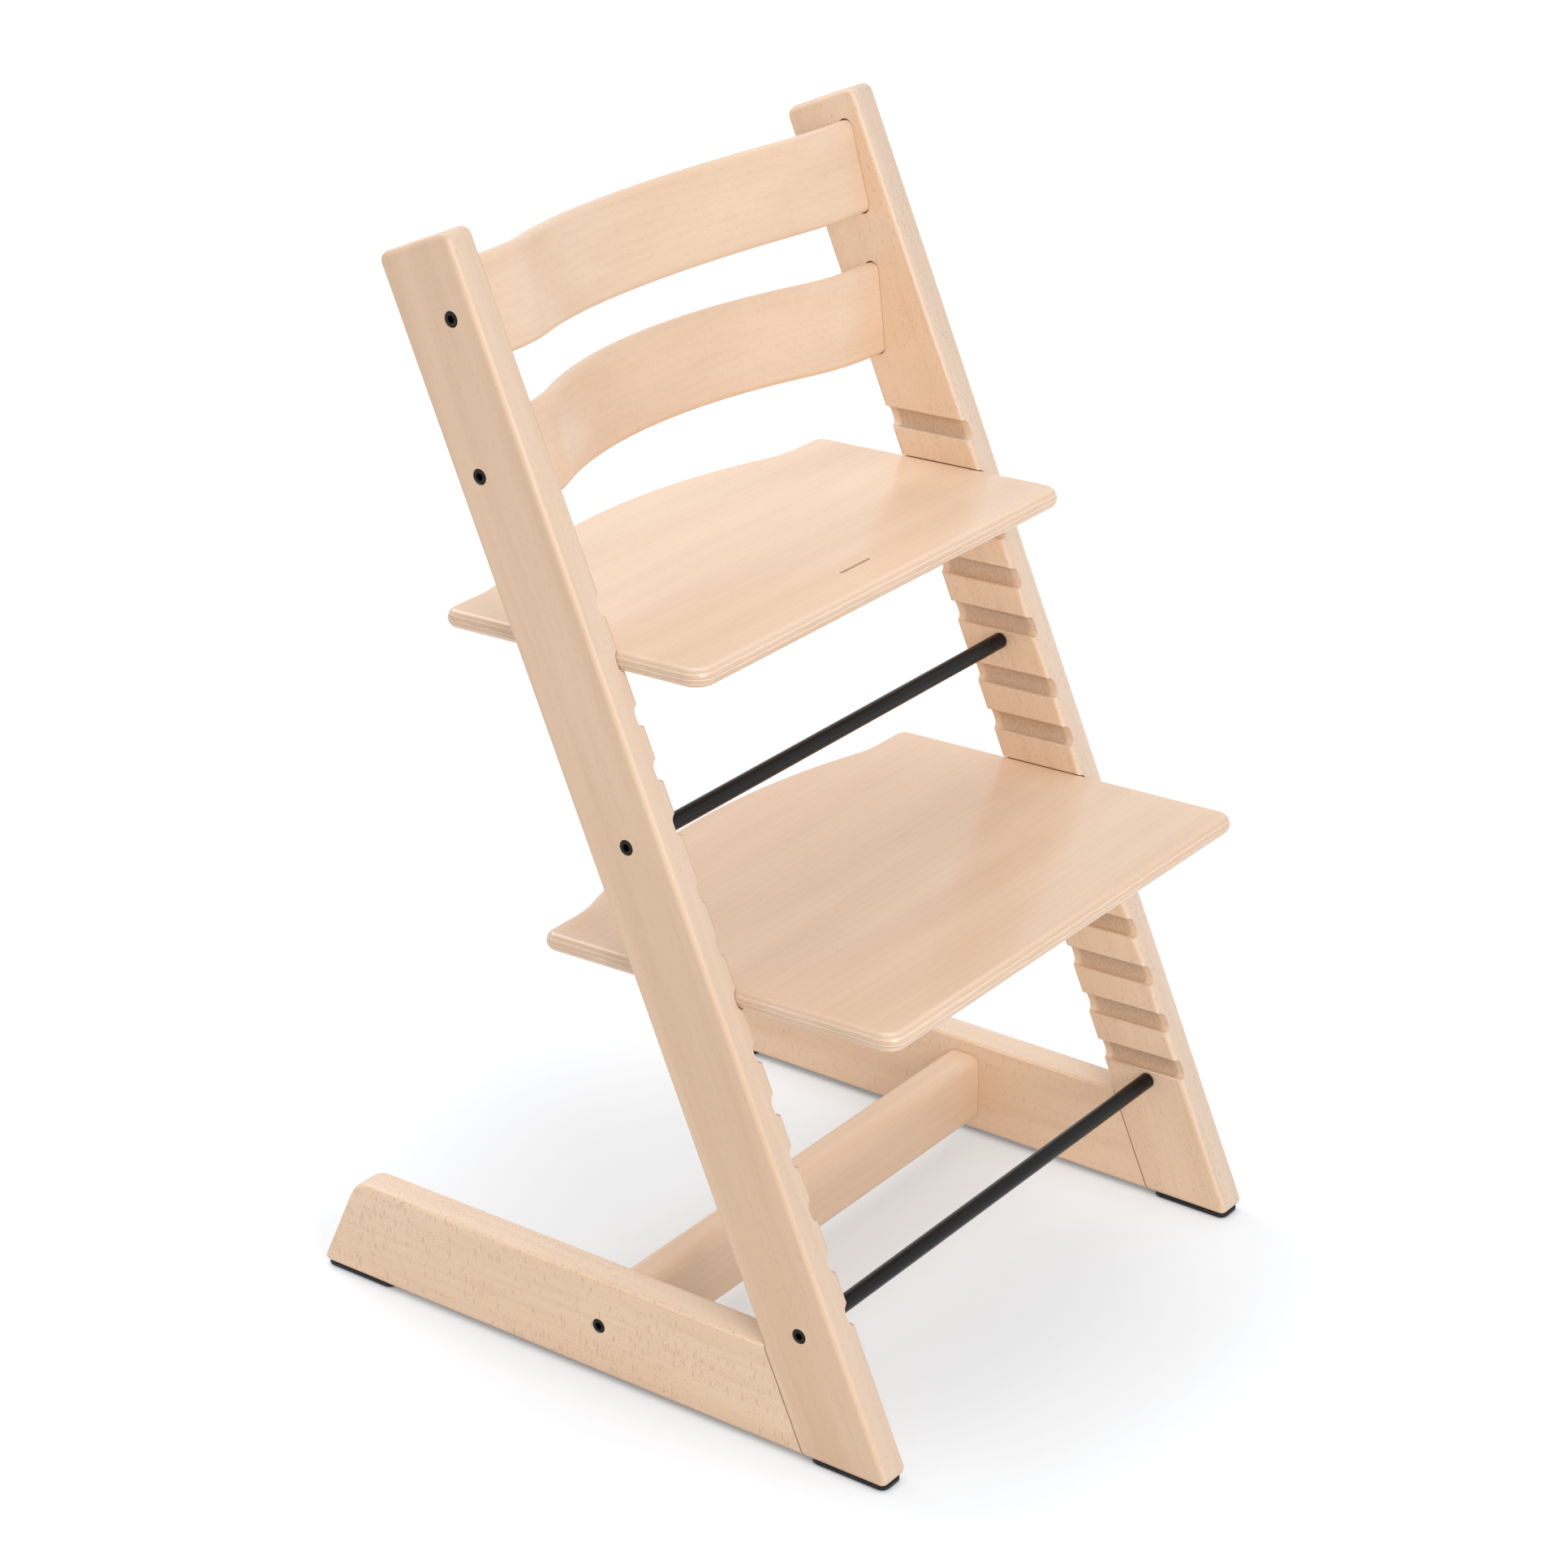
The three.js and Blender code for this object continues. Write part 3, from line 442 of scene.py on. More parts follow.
def beech_figure_group():
    """Colour, height and sheen of beech from a point in the timber.

    Broad bands and fine streaks follow the grain, and year rings lie round a far pith. Rays show as
    dashes: each is a cell of a lattice stretched by the ray's own size, and the ray share says how
    many of the cells hold one."""
    nodes, given, out = new_group(
        "beech figure",
        [
            ("Lay", "vector", (0, 0, 0)),
            ("Light", "colour", (0.8, 0.6, 0.4)),
            ("Dark", "colour", (0.6, 0.4, 0.3)),
            ("Fleck", "colour", (0.4, 0.3, 0.2)),
            ("Ray Scale", "vector", (260, 1300, 120)),
            ("Ray Share", "value", 0.3),
            ("Ray Strength", "value", 0.5),
            ("Dot Strength", "value", 0.2),
            ("Ring Strength", "value", 0.3),
            ("Streak Strength", "value", 0.15),
        ],
        [("Colour", "colour"), ("Height", "value"), ("Sheen", "value")],
    )
    lay = given["Lay"]
    # slow wander of the grain
    drift = nodes.add(
        "ShaderNodeTexNoise", Vector=nodes.vector("MULTIPLY", lay, WANDER), Scale=1.0, Detail=2.0
    ).outputs["Color"]
    drift = nodes.vector("SUBTRACT", drift, (0.5, 0.5, 0.5))
    bent = nodes.vector("ADD", lay, nodes.vector("MULTIPLY", drift, (0.0, 0.03, 0.03)))
    bands = nodes.grained(bent, BANDS)
    streaks = nodes.grained(bent, STREAKS, roughness=0.65)
    mottle = nodes.grained(lay, MOTTLE, 2.0, 0.6)
    # year rings: a thin darker line where each year ends
    rings = nodes.add(
        "ShaderNodeTexWave",
        {"wave_type": "RINGS", "rings_direction": "X", "wave_profile": "SAW"},
        Vector=nodes.vector("ADD", bent, (0, 0.11, 0.055)),
        Scale=48.0,
        Distortion=1.6,
        Detail=2.0,
        Detail_Scale=0.6,
    ).outputs["Fac"]
    ringed = nodes.times(nodes.step(rings, 0.45, 1.0), given["Ring Strength"])
    # rays, crowded in some places and sparse in others
    sway = nodes.vector("MULTIPLY", nodes.grained(lay, SWAY, 2.0), (0.9, 0.9, 0.9))
    swayed = nodes.vector("ADD", nodes.vector("MULTIPLY", lay, given["Ray Scale"]), sway)
    distance, chances = nodes.cells(swayed)
    crowd = nodes.step(nodes.grained(lay, CROWDS, 2.0), 0.34, 0.64, 0.25, 1.3)
    held = nodes.math("LESS_THAN", chances[0], nodes.times(given["Ray Share"], crowd))
    faint = nodes.math("MULTIPLY_ADD", chances[1], 0.7, 0.3)
    rays = nodes.times(nodes.times(held, nodes.step(distance, 0.50, 0.14)), faint)
    # small round dots between the rays
    distance, chances = nodes.cells(nodes.vector("MULTIPLY", lay, DOTS))
    kept = nodes.math("LESS_THAN", chances[0], nodes.times(crowd, 0.4))
    dots = nodes.times(kept, nodes.step(distance, 0.40, 0.18))
    # all of it over the two tones
    tone = nodes.times(nodes.step(bands, 0.30, 0.70), 0.75)
    tone = nodes.math("ADD", tone, ringed, clamp=True)
    streak = nodes.times(nodes.step(streaks, 0.45, 0.78), given["Streak Strength"])
    speck = nodes.step(mottle, 0.52, 0.80, 0.0, 0.12)
    colour = nodes.mix(tone, given["Light"], given["Dark"])
    for mask in (
        nodes.math("ADD", speck, streak, clamp=True),
        nodes.times(dots, given["Dot Strength"]),
        nodes.times(rays, given["Ray Strength"]),
    ):
        colour = nodes.mix(mask, colour, given["Fleck"])
    height = nodes.math("SUBTRACT", nodes.times(streaks, 0.5), nodes.times(rays, 0.6))
    banded = nodes.math("SUBTRACT", bands, 0.5)
    sheen = nodes.math("MULTIPLY_ADD", banded, 0.06, nodes.times(rays, -0.03))
    for label, value in (("Colour", colour), ("Height", height), ("Sheen", sheen)):
        nodes.feed(out, label, value)
    return nodes.tree


def worked_and_shaded_timber_group():
    """Painted sheen on the faces turned from the sides, and a darker tone in the grooves, partly
    the bare timber and partly painted shade, and in the joint of upright and rail.

    The groove's share rises with the depth below the inner face and falls to nothing near the
    upright's long edges. The joint is a thin line where the distance from its plane is small."""
    nodes, given, out = new_group(
        "worked timber",
        [
            ("Lay", "vector", (0, 0, 0)),
            ("Seam", "vector", (1, 1, 1)),
            ("Face", "colour", (0.8, 0.6, 0.4)),
            ("Edge", "colour", PAINTED_SHEEN),
            ("Groove", "colour", (0.5, 0.4, 0.3)),
            ("Line", "colour", (0.3, 0.2, 0.1)),
            ("Inner Face", "value", 0.2045),
            ("Half Width", "value", 0.0312),
        ],
        [("Colour", "colour")],
    )
    _, across, through = nodes.parts(given["Lay"])
    depth = nodes.math("SUBTRACT", nodes.size_of(through), given["Inner Face"])
    inward = nodes.math("SUBTRACT", given["Half Width"], nodes.size_of(across))
    # the groove's tone is the bare routed timber darkened further: partly painted shade in the
    # recess
    sunk = nodes.times(nodes.step(depth, 0.0004, 0.003), nodes.step(depth, 0.0072, 0.0068))
    inside = nodes.times(sunk, nodes.step(inward, 0.0034, 0.0075, 0.0, 0.8))
    rough = nodes.step(nodes.grained(given["Lay"], TOOL_MARKS), 0.40, 0.66, 0.0, 0.28)
    cut_and_shade = nodes.mix(rough, given["Groove"], given["Line"])
    # painted sheen: faces turned from the sides (front, rear and top) are multiplied by the sheen
    # tint
    sideways = nodes.parts(nodes.add("ShaderNodeTexCoord").outputs["Normal"])[0]
    edge = nodes.step(nodes.size_of(sideways), 0.6, 0.2)
    face = nodes.mix(edge, given["Face"], given["Edge"], "MULTIPLY")
    colour = nodes.mix(inside, face, cut_and_shade)
    distance, above, _ = nodes.parts(given["Seam"])
    thin = nodes.step(nodes.size_of(distance), 0.0007, 0.0002, 0.0, 0.85)
    joint = nodes.times(thin, nodes.step(above, -0.001, -0.003))
    nodes.feed(out, "Colour", nodes.mix(joint, colour, given["Line"]))
    return nodes.tree


def ply_edge_group():
    """Plies seen on a rounded plywood edge, from the distance through the board.

    The ply number is the distance divided by the ply's thickness, rounded to whole plies. Every
    other ply shows its end grain and is tinted, and a thin line with broken strength lies where two
    meet, strongest beside the middle ply."""
    nodes, given, out = new_group(
        "ply edge",
        [
            ("Lay", "vector", (0, 0, 0)),
            ("Face", "colour", (0.8, 0.6, 0.4)),
            ("Glue", "colour", (0.3, 0.2, 0.1)),
            ("Ply", "value", 0.0017),
            ("Half Thickness", "value", 0.00675),
        ],
        [("Colour", "colour"), ("Height", "value")],
    )
    through = nodes.parts(given["Lay"])[2]
    wave = nodes.math("SUBTRACT", nodes.grained(given["Lay"], PLY_WAVE, 2.0), 0.5)
    through_wavy = nodes.math("MULTIPLY_ADD", wave, 0.0006, through)
    count = nodes.math("ADD", nodes.math("DIVIDE", through_wavy, given["Ply"]), 20.5)
    from_middle = nodes.size_of(nodes.math("SUBTRACT", nodes.math("FRACT", count), 0.5))
    line = nodes.step(from_middle, 0.30, 0.45)
    broken = nodes.step(nodes.grained(given["Lay"], PLY_BREAKS), 0.36, 0.62, 0.10, 1.0)
    strong = nodes.step(nodes.size_of(through_wavy), 0.0036, 0.0012, 0.3, 1.0)
    half_count = nodes.times(nodes.math("FLOOR", count), 0.5)
    odd = nodes.step(nodes.math("FRACT", half_count), 0.2, 0.3)
    under_face = nodes.math("SUBTRACT", given["Half Thickness"], nodes.size_of(through))
    inside = nodes.step(under_face, 0.0006, 0.0016)
    tinted = nodes.mix(nodes.times(nodes.times(odd, inside), 0.16), given["Face"], given["Glue"])
    lined = nodes.times(nodes.times(line, broken), nodes.times(inside, strong))
    nodes.feed(out, "Colour", nodes.mix(nodes.times(lined, 0.5), tinted, given["Glue"]))
    nodes.feed(out, "Height", nodes.times(lined, -1.0))
    return nodes.tree


def speckle_group():
    """Height and roughness change of a fine moulded or sprayed surface, from two noises."""
    nodes, given, out = new_group(
        "fine speckle",
        [("At", "vector", (0, 0, 0)), ("Scale", "value", 1800.0), ("Spread", "value", 0.1)],
        [("Height", "value"), ("Roughness Change", "value")],
    )
    broad = nodes.math("SUBTRACT", nodes.noise(given["At"], 60.0), 0.5)
    nodes.feed(out, "Height", nodes.noise(given["At"], given["Scale"], 2.0))
    nodes.feed(out, "Roughness Change", nodes.times(broad, given["Spread"]))
    return nodes.tree


# ------------------------------------------------------------------ materials


def shader(name):
    """A material with only a Principled BSDF; returns the material, its helper and the shader."""
    material = bpy.data.materials.new(name)
    material.use_nodes = True
    nodes = Nodes(material.node_tree)
    return material, nodes, material.node_tree.nodes["Principled BSDF"]


def group_node(nodes, group, **inputs):
    """A placed node group with its inputs."""
    node = nodes.add("ShaderNodeGroup", {"node_tree": group})
    for key, value in inputs.items():
        nodes.feed(node, key, value)
    return node


def wood_base(name, groups, finish, tones, rough, rays, ray_share, ray, dot, ring, streak):
    """Lacquered beech up to its colour; the caller adds what else shows and links the colour."""
    material, nodes, surface = shader(name)
    lay = nodes.add("ShaderNodeAttribute", {"attribute_name": LAY}).outputs["Vector"]
    figure = group_node(
        nodes,
        groups["figure"],
        Lay=lay,
        Light=tuple(tones[0]),
        Dark=tuple(tones[1]),
        Fleck=tuple(finish.fleck),
        Ray_Scale=rays,
        Ray_Share=ray_share,
        Ray_Strength=ray,
        Dot_Strength=dot,
        Ring_Strength=ring,
        Streak_Strength=streak,
    ).outputs
    nodes.feed(surface, "Roughness", nodes.math("ADD", figure["Sheen"], rough))
    return material, nodes, surface, lay, figure


def add_bump(nodes, surface, height, distance, strength):
    """Feeds the shader's normal from a height."""
    bump = nodes.add("ShaderNodeBump", Height=height, Distance=distance, Strength=strength)
    nodes.feed(surface, "Normal", bump.outputs[0])


def timber_materials(finish, groups):
    """The solid beech finishes, by name; those with a painted sheen tint show grooves and joints
    too.
    """
    timber = (finish.timber_light, finish.timber_dark)
    pale = (finish.pale_light, finish.pale_dark)
    board = (finish.board_light, finish.board_dark)
    plain, smooth = finish.lacquer, finish.board_lacquer
    made = {}
    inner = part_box("side_upright_right")[0][0]
    upright = (plain, PAINTED_SHEEN, inner)
    right_upright = (plain, PAINTED_SHADE_RIGHT, inner)
    rail = (plain, PAINTED_SHEEN, UNGROOVED)
    # name, tones, (roughness, painted sheen tint, inner face), scale of the rays and the share that
    # there are of them, then the strengths of rays, dots, rings and streaks
    for name, tones, (rough, edge, face), rays, *strengths in (
        ("upright_left", timber, upright, (150, 900, 420), 0.12, 0.25, 0.10, 0.10, 0.10),
        ("upright_right", pale, right_upright, (190, 640, 520), 0.26, 0.36, 0.26, 0.12, 0.12),
        ("rail_left", pale, rail, (420, 900, 110), 0.42, 0.55, 0.34, 0.14, 0.16),
        ("rail_right", pale, rail, (470, 900, 120), 0.20, 0.36, 0.22, 0.12, 0.12),
        ("board", board, (smooth, None, None), (170, 1400, 900), 0.22, 0.20, 0.05, 0.18, 0.10),
    ):
        name = f"beech_{name}"
        material, nodes, surface, lay, figure = wood_base(
            name, groups, finish, tones, rough, rays, *strengths
        )
        colour = figure["Colour"]
        # edge holds the painted sheen tint, which the boards lack
        if edge:
            colour = group_node(
                nodes,
                groups["worked_and_shaded"],
                Lay=lay,
                Seam=nodes.add("ShaderNodeAttribute", {"attribute_name": SEAM}).outputs["Vector"],
                Face=colour,
                Edge=edge,
                Groove=tuple(finish.groove),
                Line=tuple(finish.glue_line),
                Inner_Face=face,
            ).outputs["Colour"]
        nodes.feed(surface, "Base Color", colour)
        add_bump(nodes, surface, figure["Height"], GRAIN_DEPTH, 0.3)
        made[name] = material
    return made


def plywood_material(finish, groups):
    """Lacquered beech veneer with the plies on its edge."""
    veneer = (finish.veneer_light, finish.veneer_dark)
    material, nodes, surface, lay, figure = wood_base(
        "beech_plywood", groups, finish, veneer, finish.plate_lacquer,
        (140, 1300, 1300), 0.25, 0.10, 0.05, 0.16, 0.03,
    )
    surface.inputs["Specular IOR Level"].default_value = 0.55
    glue = tuple(finish.glue_line)
    plies = group_node(nodes, groups["ply"], Lay=lay, Face=figure["Colour"], Glue=glue).outputs
    nodes.feed(surface, "Base Color", plies["Colour"])
    height = nodes.math("MULTIPLY_ADD", plies["Height"], 0.3, figure["Height"])
    add_bump(nodes, surface, height, GRAIN_DEPTH, 0.25)
    return material


def plain_materials(finish, groups):
    """The finishes with only a fine speckle, by name."""
    made = {}
    # name, colour, roughness, metallic, specular, speckle's scale, bump and spread of roughness
    for name, colour, rough, metal, specular, grain, bump, spread in (
        ("black_steel", finish.black, 0.30, 0.0, 0.22, 2600.0, 0.03 * MM, 0.12),
        ("zinc_steel", finish.zinc, 0.32, 1.0, 0.5, 1500.0, 0.02 * MM, 0.2),
        ("black_plastic", finish.plastic, 0.55, 0.0, 0.4, 1600.0, 0.06 * MM, 0.1),
        ("dowel_beech", finish.timber_dark, 0.7, 0.0, 0.5, 900.0, 0.06 * MM, 0.1),
    ):
        material, nodes, surface = shader(name)
        at = nodes.add("ShaderNodeTexCoord").outputs["Object"]
        speckle = group_node(nodes, groups["speckle"], At=at, Scale=grain, Spread=spread).outputs
        surface.inputs["Base Color"].default_value = (*colour, 1)
        surface.inputs["Metallic"].default_value = metal
        surface.inputs["Specular IOR Level"].default_value = specular
        nodes.feed(surface, "Roughness", nodes.math("ADD", speckle["Roughness Change"], rough))
        add_bump(nodes, surface, speckle["Height"], bump, 0.5)
        made[name] = material
    return made


MATERIALS = {}


def material(name):
    """The finish of that name; all are made the first time one is asked for."""
    if not MATERIALS:
        finish = bpy.context.scene.chair_finish
        groups = {
            "figure": beech_figure_group(),
            "worked_and_shaded": worked_and_shaded_timber_group(),
            "ply": ply_edge_group(),
            "speckle": speckle_group(),
        }
        MATERIALS.update(timber_materials(finish, groups))
        MATERIALS["beech_plywood"] = plywood_material(finish, groups)
        MATERIALS.update(plain_materials(finish, groups))
    return MATERIALS[name]


# ------------------------------------------------------------------ operators


class CHAIR_OT_timbers(Operator):
    """Smooths the uprights, floor rails and cross-brace and lays their grain along them"""

    bl_idname = "chair.timbers"
    bl_label = "Timbers"

    def execute(self, context):
        lean = context.scene.chair_sizes.lean
        for order, side in enumerate(("left", "right")):
            node = f"side_upright_{side}"
            piece = merged_copy(node, f"upright_{side}")
            x, y, z = points_of(piece.data).T
            along, across = self.leaning(y, z, lean)
            joint = across.max()
            middle = (across.min() + joint) / 2
            write_vectors(piece.data, LAY, along + UPRIGHT_FIGURE + order, across - middle, x)
            # the joint shows only beside the rail: above it the distance is that to the rail's top
            rail = f"floor_rail_{side}"
            rail_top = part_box(rail)[1][2]
            write_vectors(piece.data, SEAM, joint - across, z - rail_top, 0 * z)
            finish_piece(piece, "frame", material(f"beech_upright_{side}"), "solid_beech", node)
            piece = merged_copy(rail, f"rail_{side}")
            x, y, z = points_of(piece.data).T
            write_vectors(piece.data, LAY, y + RAIL_FIGURE + order, x, z)
            distance = self.leaning(y, z, lean)[1] - joint
            write_vectors(piece.data, SEAM, distance, z - rail_top, 0 * z)
            beech = material(f"beech_rail_{side}")
            finish_piece(piece, "frame", beech, "solid_beech", rail, crease=TIMBER_CREASE)
        piece = merged_copy("cross_brace", "brace")
        x, y, z = points_of(piece.data).T
        write_vectors(piece.data, LAY, x + BRACE_FIGURE, y, z)
        beech = material("beech_board")
        finish_piece(piece, "frame", beech, "solid_beech", "cross_brace", crease=TIMBER_CREASE)
        for name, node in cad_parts.items():
            if "dowel" in name:
                node.data.materials.clear()
                node.data.materials.append(material("dowel_beech"))
        return {"FINISHED"}

    def leaning(self, y, z, lean):
        """Distance up the upright and distance square to it, to the rear, for arrays of y and z."""
        return y * math.cos(lean) + z * math.sin(lean), y * math.sin(lean) - z * math.cos(lean)


def plate_points(box, sizes, inner, which):
    """Rings of points round a plate, from the top face's rim to the bottom one's.

    The plan is straight at the front and sides, with a corner arc at each end of them, two level
    wings at the rear and a bow between them. Each ring is the plan moved inwards by the nose's
    inset, at the nose's height."""
    low, high = np.array(box[0]), np.array(box[1])
    half = high[0]
    tilt = sizes.plate_tilt
    thick = sizes.plate_thickness
    length = (high[1] - low[1] - thick) / math.cos(tilt) + thick
    front, wing, bulge = (getattr(sizes, f"{which}_{part}") for part in ("corner", "wing", "bulge"))
    side = length - bulge
    rear = sizes.wing_corner
    bow_points, bow_normals = bow(inner - wing, bulge, sizes.plate_ease, BOW_STEPS)
    parts = [
        arc((front - half, front), front, 180, 270, CORNER_STEPS),
        arc((half - front, front), front, 270, 360, CORNER_STEPS),
        arc((half - rear, side - rear), rear, 0, 90, CORNER_STEPS),
        (bow_points + (0, side), bow_normals),
        arc((rear - half, side - rear), rear, 90, 180, CORNER_STEPS),
    ]
    plan = np.concatenate([p for p, _ in parts])
    normals = np.concatenate([n for _, n in parts])
    inset, height = nose_profile(thick, sizes.plate_nose, NOSE_STEPS)
    flat = plan[None] - normals[None] * inset[:, None, None]
    heights = np.broadcast_to(height[:, None, None], flat.shape[:2] + (1,))
    lay = np.concatenate([flat, heights], axis=2)
    middle = (low + high) / 2
    level = lay + np.array([0, middle[1] - length / 2, middle[2]])
    return turned(level, -tilt, middle), lay


class CHAIR_OT_plates(Operator):
    """Makes the seat and the foot plate with rounded plywood edges"""

    bl_idname = "chair.plates"
    bl_label = "Seat and foot plate"

    def execute(self, context):
        sizes = context.scene.chair_sizes
        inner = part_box("side_upright_right")[0][0]
        for order, (which, body) in enumerate((("seat", "seat"), ("foot", "footrest"))):
            node = f"{which}_plate"
            rings, lay = plate_points(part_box(node), sizes, inner, which)
            count, around = rings.shape[:2]
            faces = ring_faces(count, around)[:, ::-1].tolist()
            points, marks = rings.reshape(-1, 3), lay.reshape(-1, 3)
            if which == "seat":
                points, marks, faces = self.with_slot(points, marks, faces, rings, lay, sizes)
            else:
                faces.append(list(range(around)))
                faces.append(list(range((count - 1) * around, count * around))[::-1])
            piece = new_piece(f"{which}_board", points, faces)
            write_vectors(piece.data, LAY, *(marks + (PLATE_FIGURE + order, 0, 0)).T)
            face_outwards(piece.data)
            finish_piece(piece, body, material("beech_plywood"), "beech_plywood", node)
        return {"FINISHED"}

    def with_slot(self, points, marks, faces, rings, lay, sizes):
        """Adds the strap slot: two stadium rings joined by quads, and each face in two halves that
        meet ahead of the slot and behind it, on the seat's middle line.

        A ring's point is placed at that of the face's front point plus its offset from it along
        the face's two axes, X and the line from the front point to the rear one."""
        count, around = rings.shape[:2]
        half = sizes.slot_width / 2
        reach = sizes.slot_length / 2 - half
        right, _ = arc((reach, sizes.slot_setback), half, -90, 90, SLOT_STEPS)
        left, _ = arc((-reach, sizes.slot_setback), half, 90, 270, SLOT_STEPS)
        stadium = np.concatenate([right, left])
        ring = len(stadium)
        base = len(points)
        axis_x = np.array([1.0, 0, 0])
        for index in (0, count - 1):
            flat, face = lay[index], rings[index]
            rear, front = np.argmax(flat[:, 1]), np.argmin(flat[:, 1])
            axis_y = face[rear] - face[front] - axis_x * (flat[rear, 0] - flat[front, 0])
            axis_y /= flat[rear, 1] - flat[front, 1]
            offset = stadium - flat[front, :2]
            slot = face[front] + offset[:, :1] * axis_x + offset[:, 1:] * axis_y
            slot_marks = np.concatenate([stadium, np.full((ring, 1), flat[0, 2])], axis=1)
            points = np.concatenate([points, slot])
            marks = np.concatenate([marks, slot_marks])
        faces += (ring_faces(2, ring) + base).tolist()
        rear_mid = int(np.argmax(lay[0][:, 1]))
        front_end = CORNER_STEPS - 1  # the straight front edge starts where the first corner ends
        for outer, inner in ((0, base), ((count - 1) * around, base + ring)):
            round_right = [outer + i for i in range(front_end + 1, rear_mid + 1)]
            round_left = [outer + i % around for i in range(rear_mid, around + front_end + 1)]
            slot_right = [inner + i for i in range(SLOT_STEPS)]
            slot_left = [inner + i for i in range(SLOT_STEPS, ring)]
            faces.append(round_right + [slot_left[0]] + slot_right[::-1])
            faces.append(round_left + [slot_right[0]] + slot_left[::-1])
            faces.append([outer + front_end, outer + front_end + 1, slot_right[0]])
        return points, marks, faces


class CHAIR_OT_backrests(Operator):
    """Makes the two bowed backrest boards"""

    bl_idname = "chair.backrests"
    bl_label = "Backrests"

    def execute(self, context):
        for order, which in enumerate(("upper", "lower")):
            node = f"backrest_{which}"
            piece = merged_copy(node, f"backrest_board_{which}")
            x, y, z = points_of(piece.data).T
            write_vectors(piece.data, LAY, x + BACKREST_FIGURE + order, y, z)
            finish_piece(piece, "frame", material("beech_board"), "solid_beech", node)
        return {"FINISHED"}


class CHAIR_OT_cross_bars(Operator):
    """Makes the two round steel bars"""

    bl_idname = "chair.cross_bars"
    bl_label = "Cross bars"

    def execute(self, context):
        chamfer = context.scene.chair_sizes.bar_chamfer
        for which in ("upper", "lower"):
            node = f"{which}_cross_bar"
            low, high = (np.array(corner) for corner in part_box(node))
            end, radius = high[0], (high[2] - low[2]) / 2
            middle = (low + high) / 2
            rim, shoulder = radius - chamfer, end - chamfer
            half = [(radius, shoulder), (rim, end), (0, end)]
            profile = np.array([(r, -x) for r, x in half[::-1]] + half)
            piece = revolved(f"{which}_bar", profile, BAR_SIDES, middle)
            finish_piece(piece, "frame", material("black_steel"), "black_steel", node)
        return {"FINISHED"}


def revolved(name, profile, around, middle):
    """Closed revolve about X: a profile point (r, x) goes to (x, r cos a, r sin a) for each even
    step of a. The two ends of the profile lie on the axis and become one point each."""
    a = np.linspace(0, 2 * np.pi, around, endpoint=False)
    ring = np.stack([np.cos(a), np.sin(a)], axis=1)
    inner = profile[1:-1]
    lengths = np.broadcast_to(inner[:, None, 1:], (len(inner), around, 1))
    grid = np.concatenate([lengths, inner[:, None, :1] * ring[None]], axis=2)
    poles = np.array([(profile[0, 1], 0, 0), (profile[-1, 1], 0, 0)])
    points = np.concatenate([grid.reshape(-1, 3), poles]) + middle
    faces = ring_faces(len(inner), around).tolist()
    first, last = len(points) - 2, len(points) - 1
    step = np.arange(around)
    ahead = (step + 1) % around
    start = (len(inner) - 1) * around
    faces += np.stack([np.full(around, first), ahead, step], axis=1).tolist()
    faces += np.stack([np.full(around, last), start + step, start + ahead], axis=1).tolist()
    piece = new_piece(name, points, faces)
    face_outwards(piece.data)
    return piece


class CHAIR_OT_fasteners(Operator):
    """Gives the screws and barrel nuts their finishes"""

    bl_idname = "chair.fasteners"
    bl_label = "Screws and nuts"

    def execute(self, context):
        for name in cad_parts:
            for kind, finish in (("screw", "black_steel"), ("nut", "zinc_steel")):
                if f"_{kind}_" in name:
                    piece = merged_copy(name, name.replace(f"_{kind}_", f"_{kind}head_"))
                    finish_piece(piece, "frame", material(finish), finish, name)
        return {"FINISHED"}


class CHAIR_OT_glides(Operator):
    """Smooths the four plastic glides"""

    bl_idname = "chair.glides"
    bl_label = "Glides"

    def execute(self, context):
        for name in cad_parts:
            if "glide" in name:
                piece = merged_copy(name, name.replace("glide", "foot"))
                finish_piece(piece, "frame", material("black_plastic"), "black_plastic", name)
        return {"FINISHED"}


def aimed(thing, place, target):
    """Puts a lamp or camera at a place, turned towards a point."""
    thing.location = place
    way = Vector(target) - Vector(place)
    thing.rotation_euler = way.to_track_quat("-Z", "Y").to_euler()


def area_lamp(name, place, width, power):
    """A square soft lamp aimed at the chair."""
    data = bpy.data.lights.new(name, "AREA")
    data.shape = "SQUARE"
    data.size = width
    data.energy = power
    aimed(placed(name, data), place, AIM)


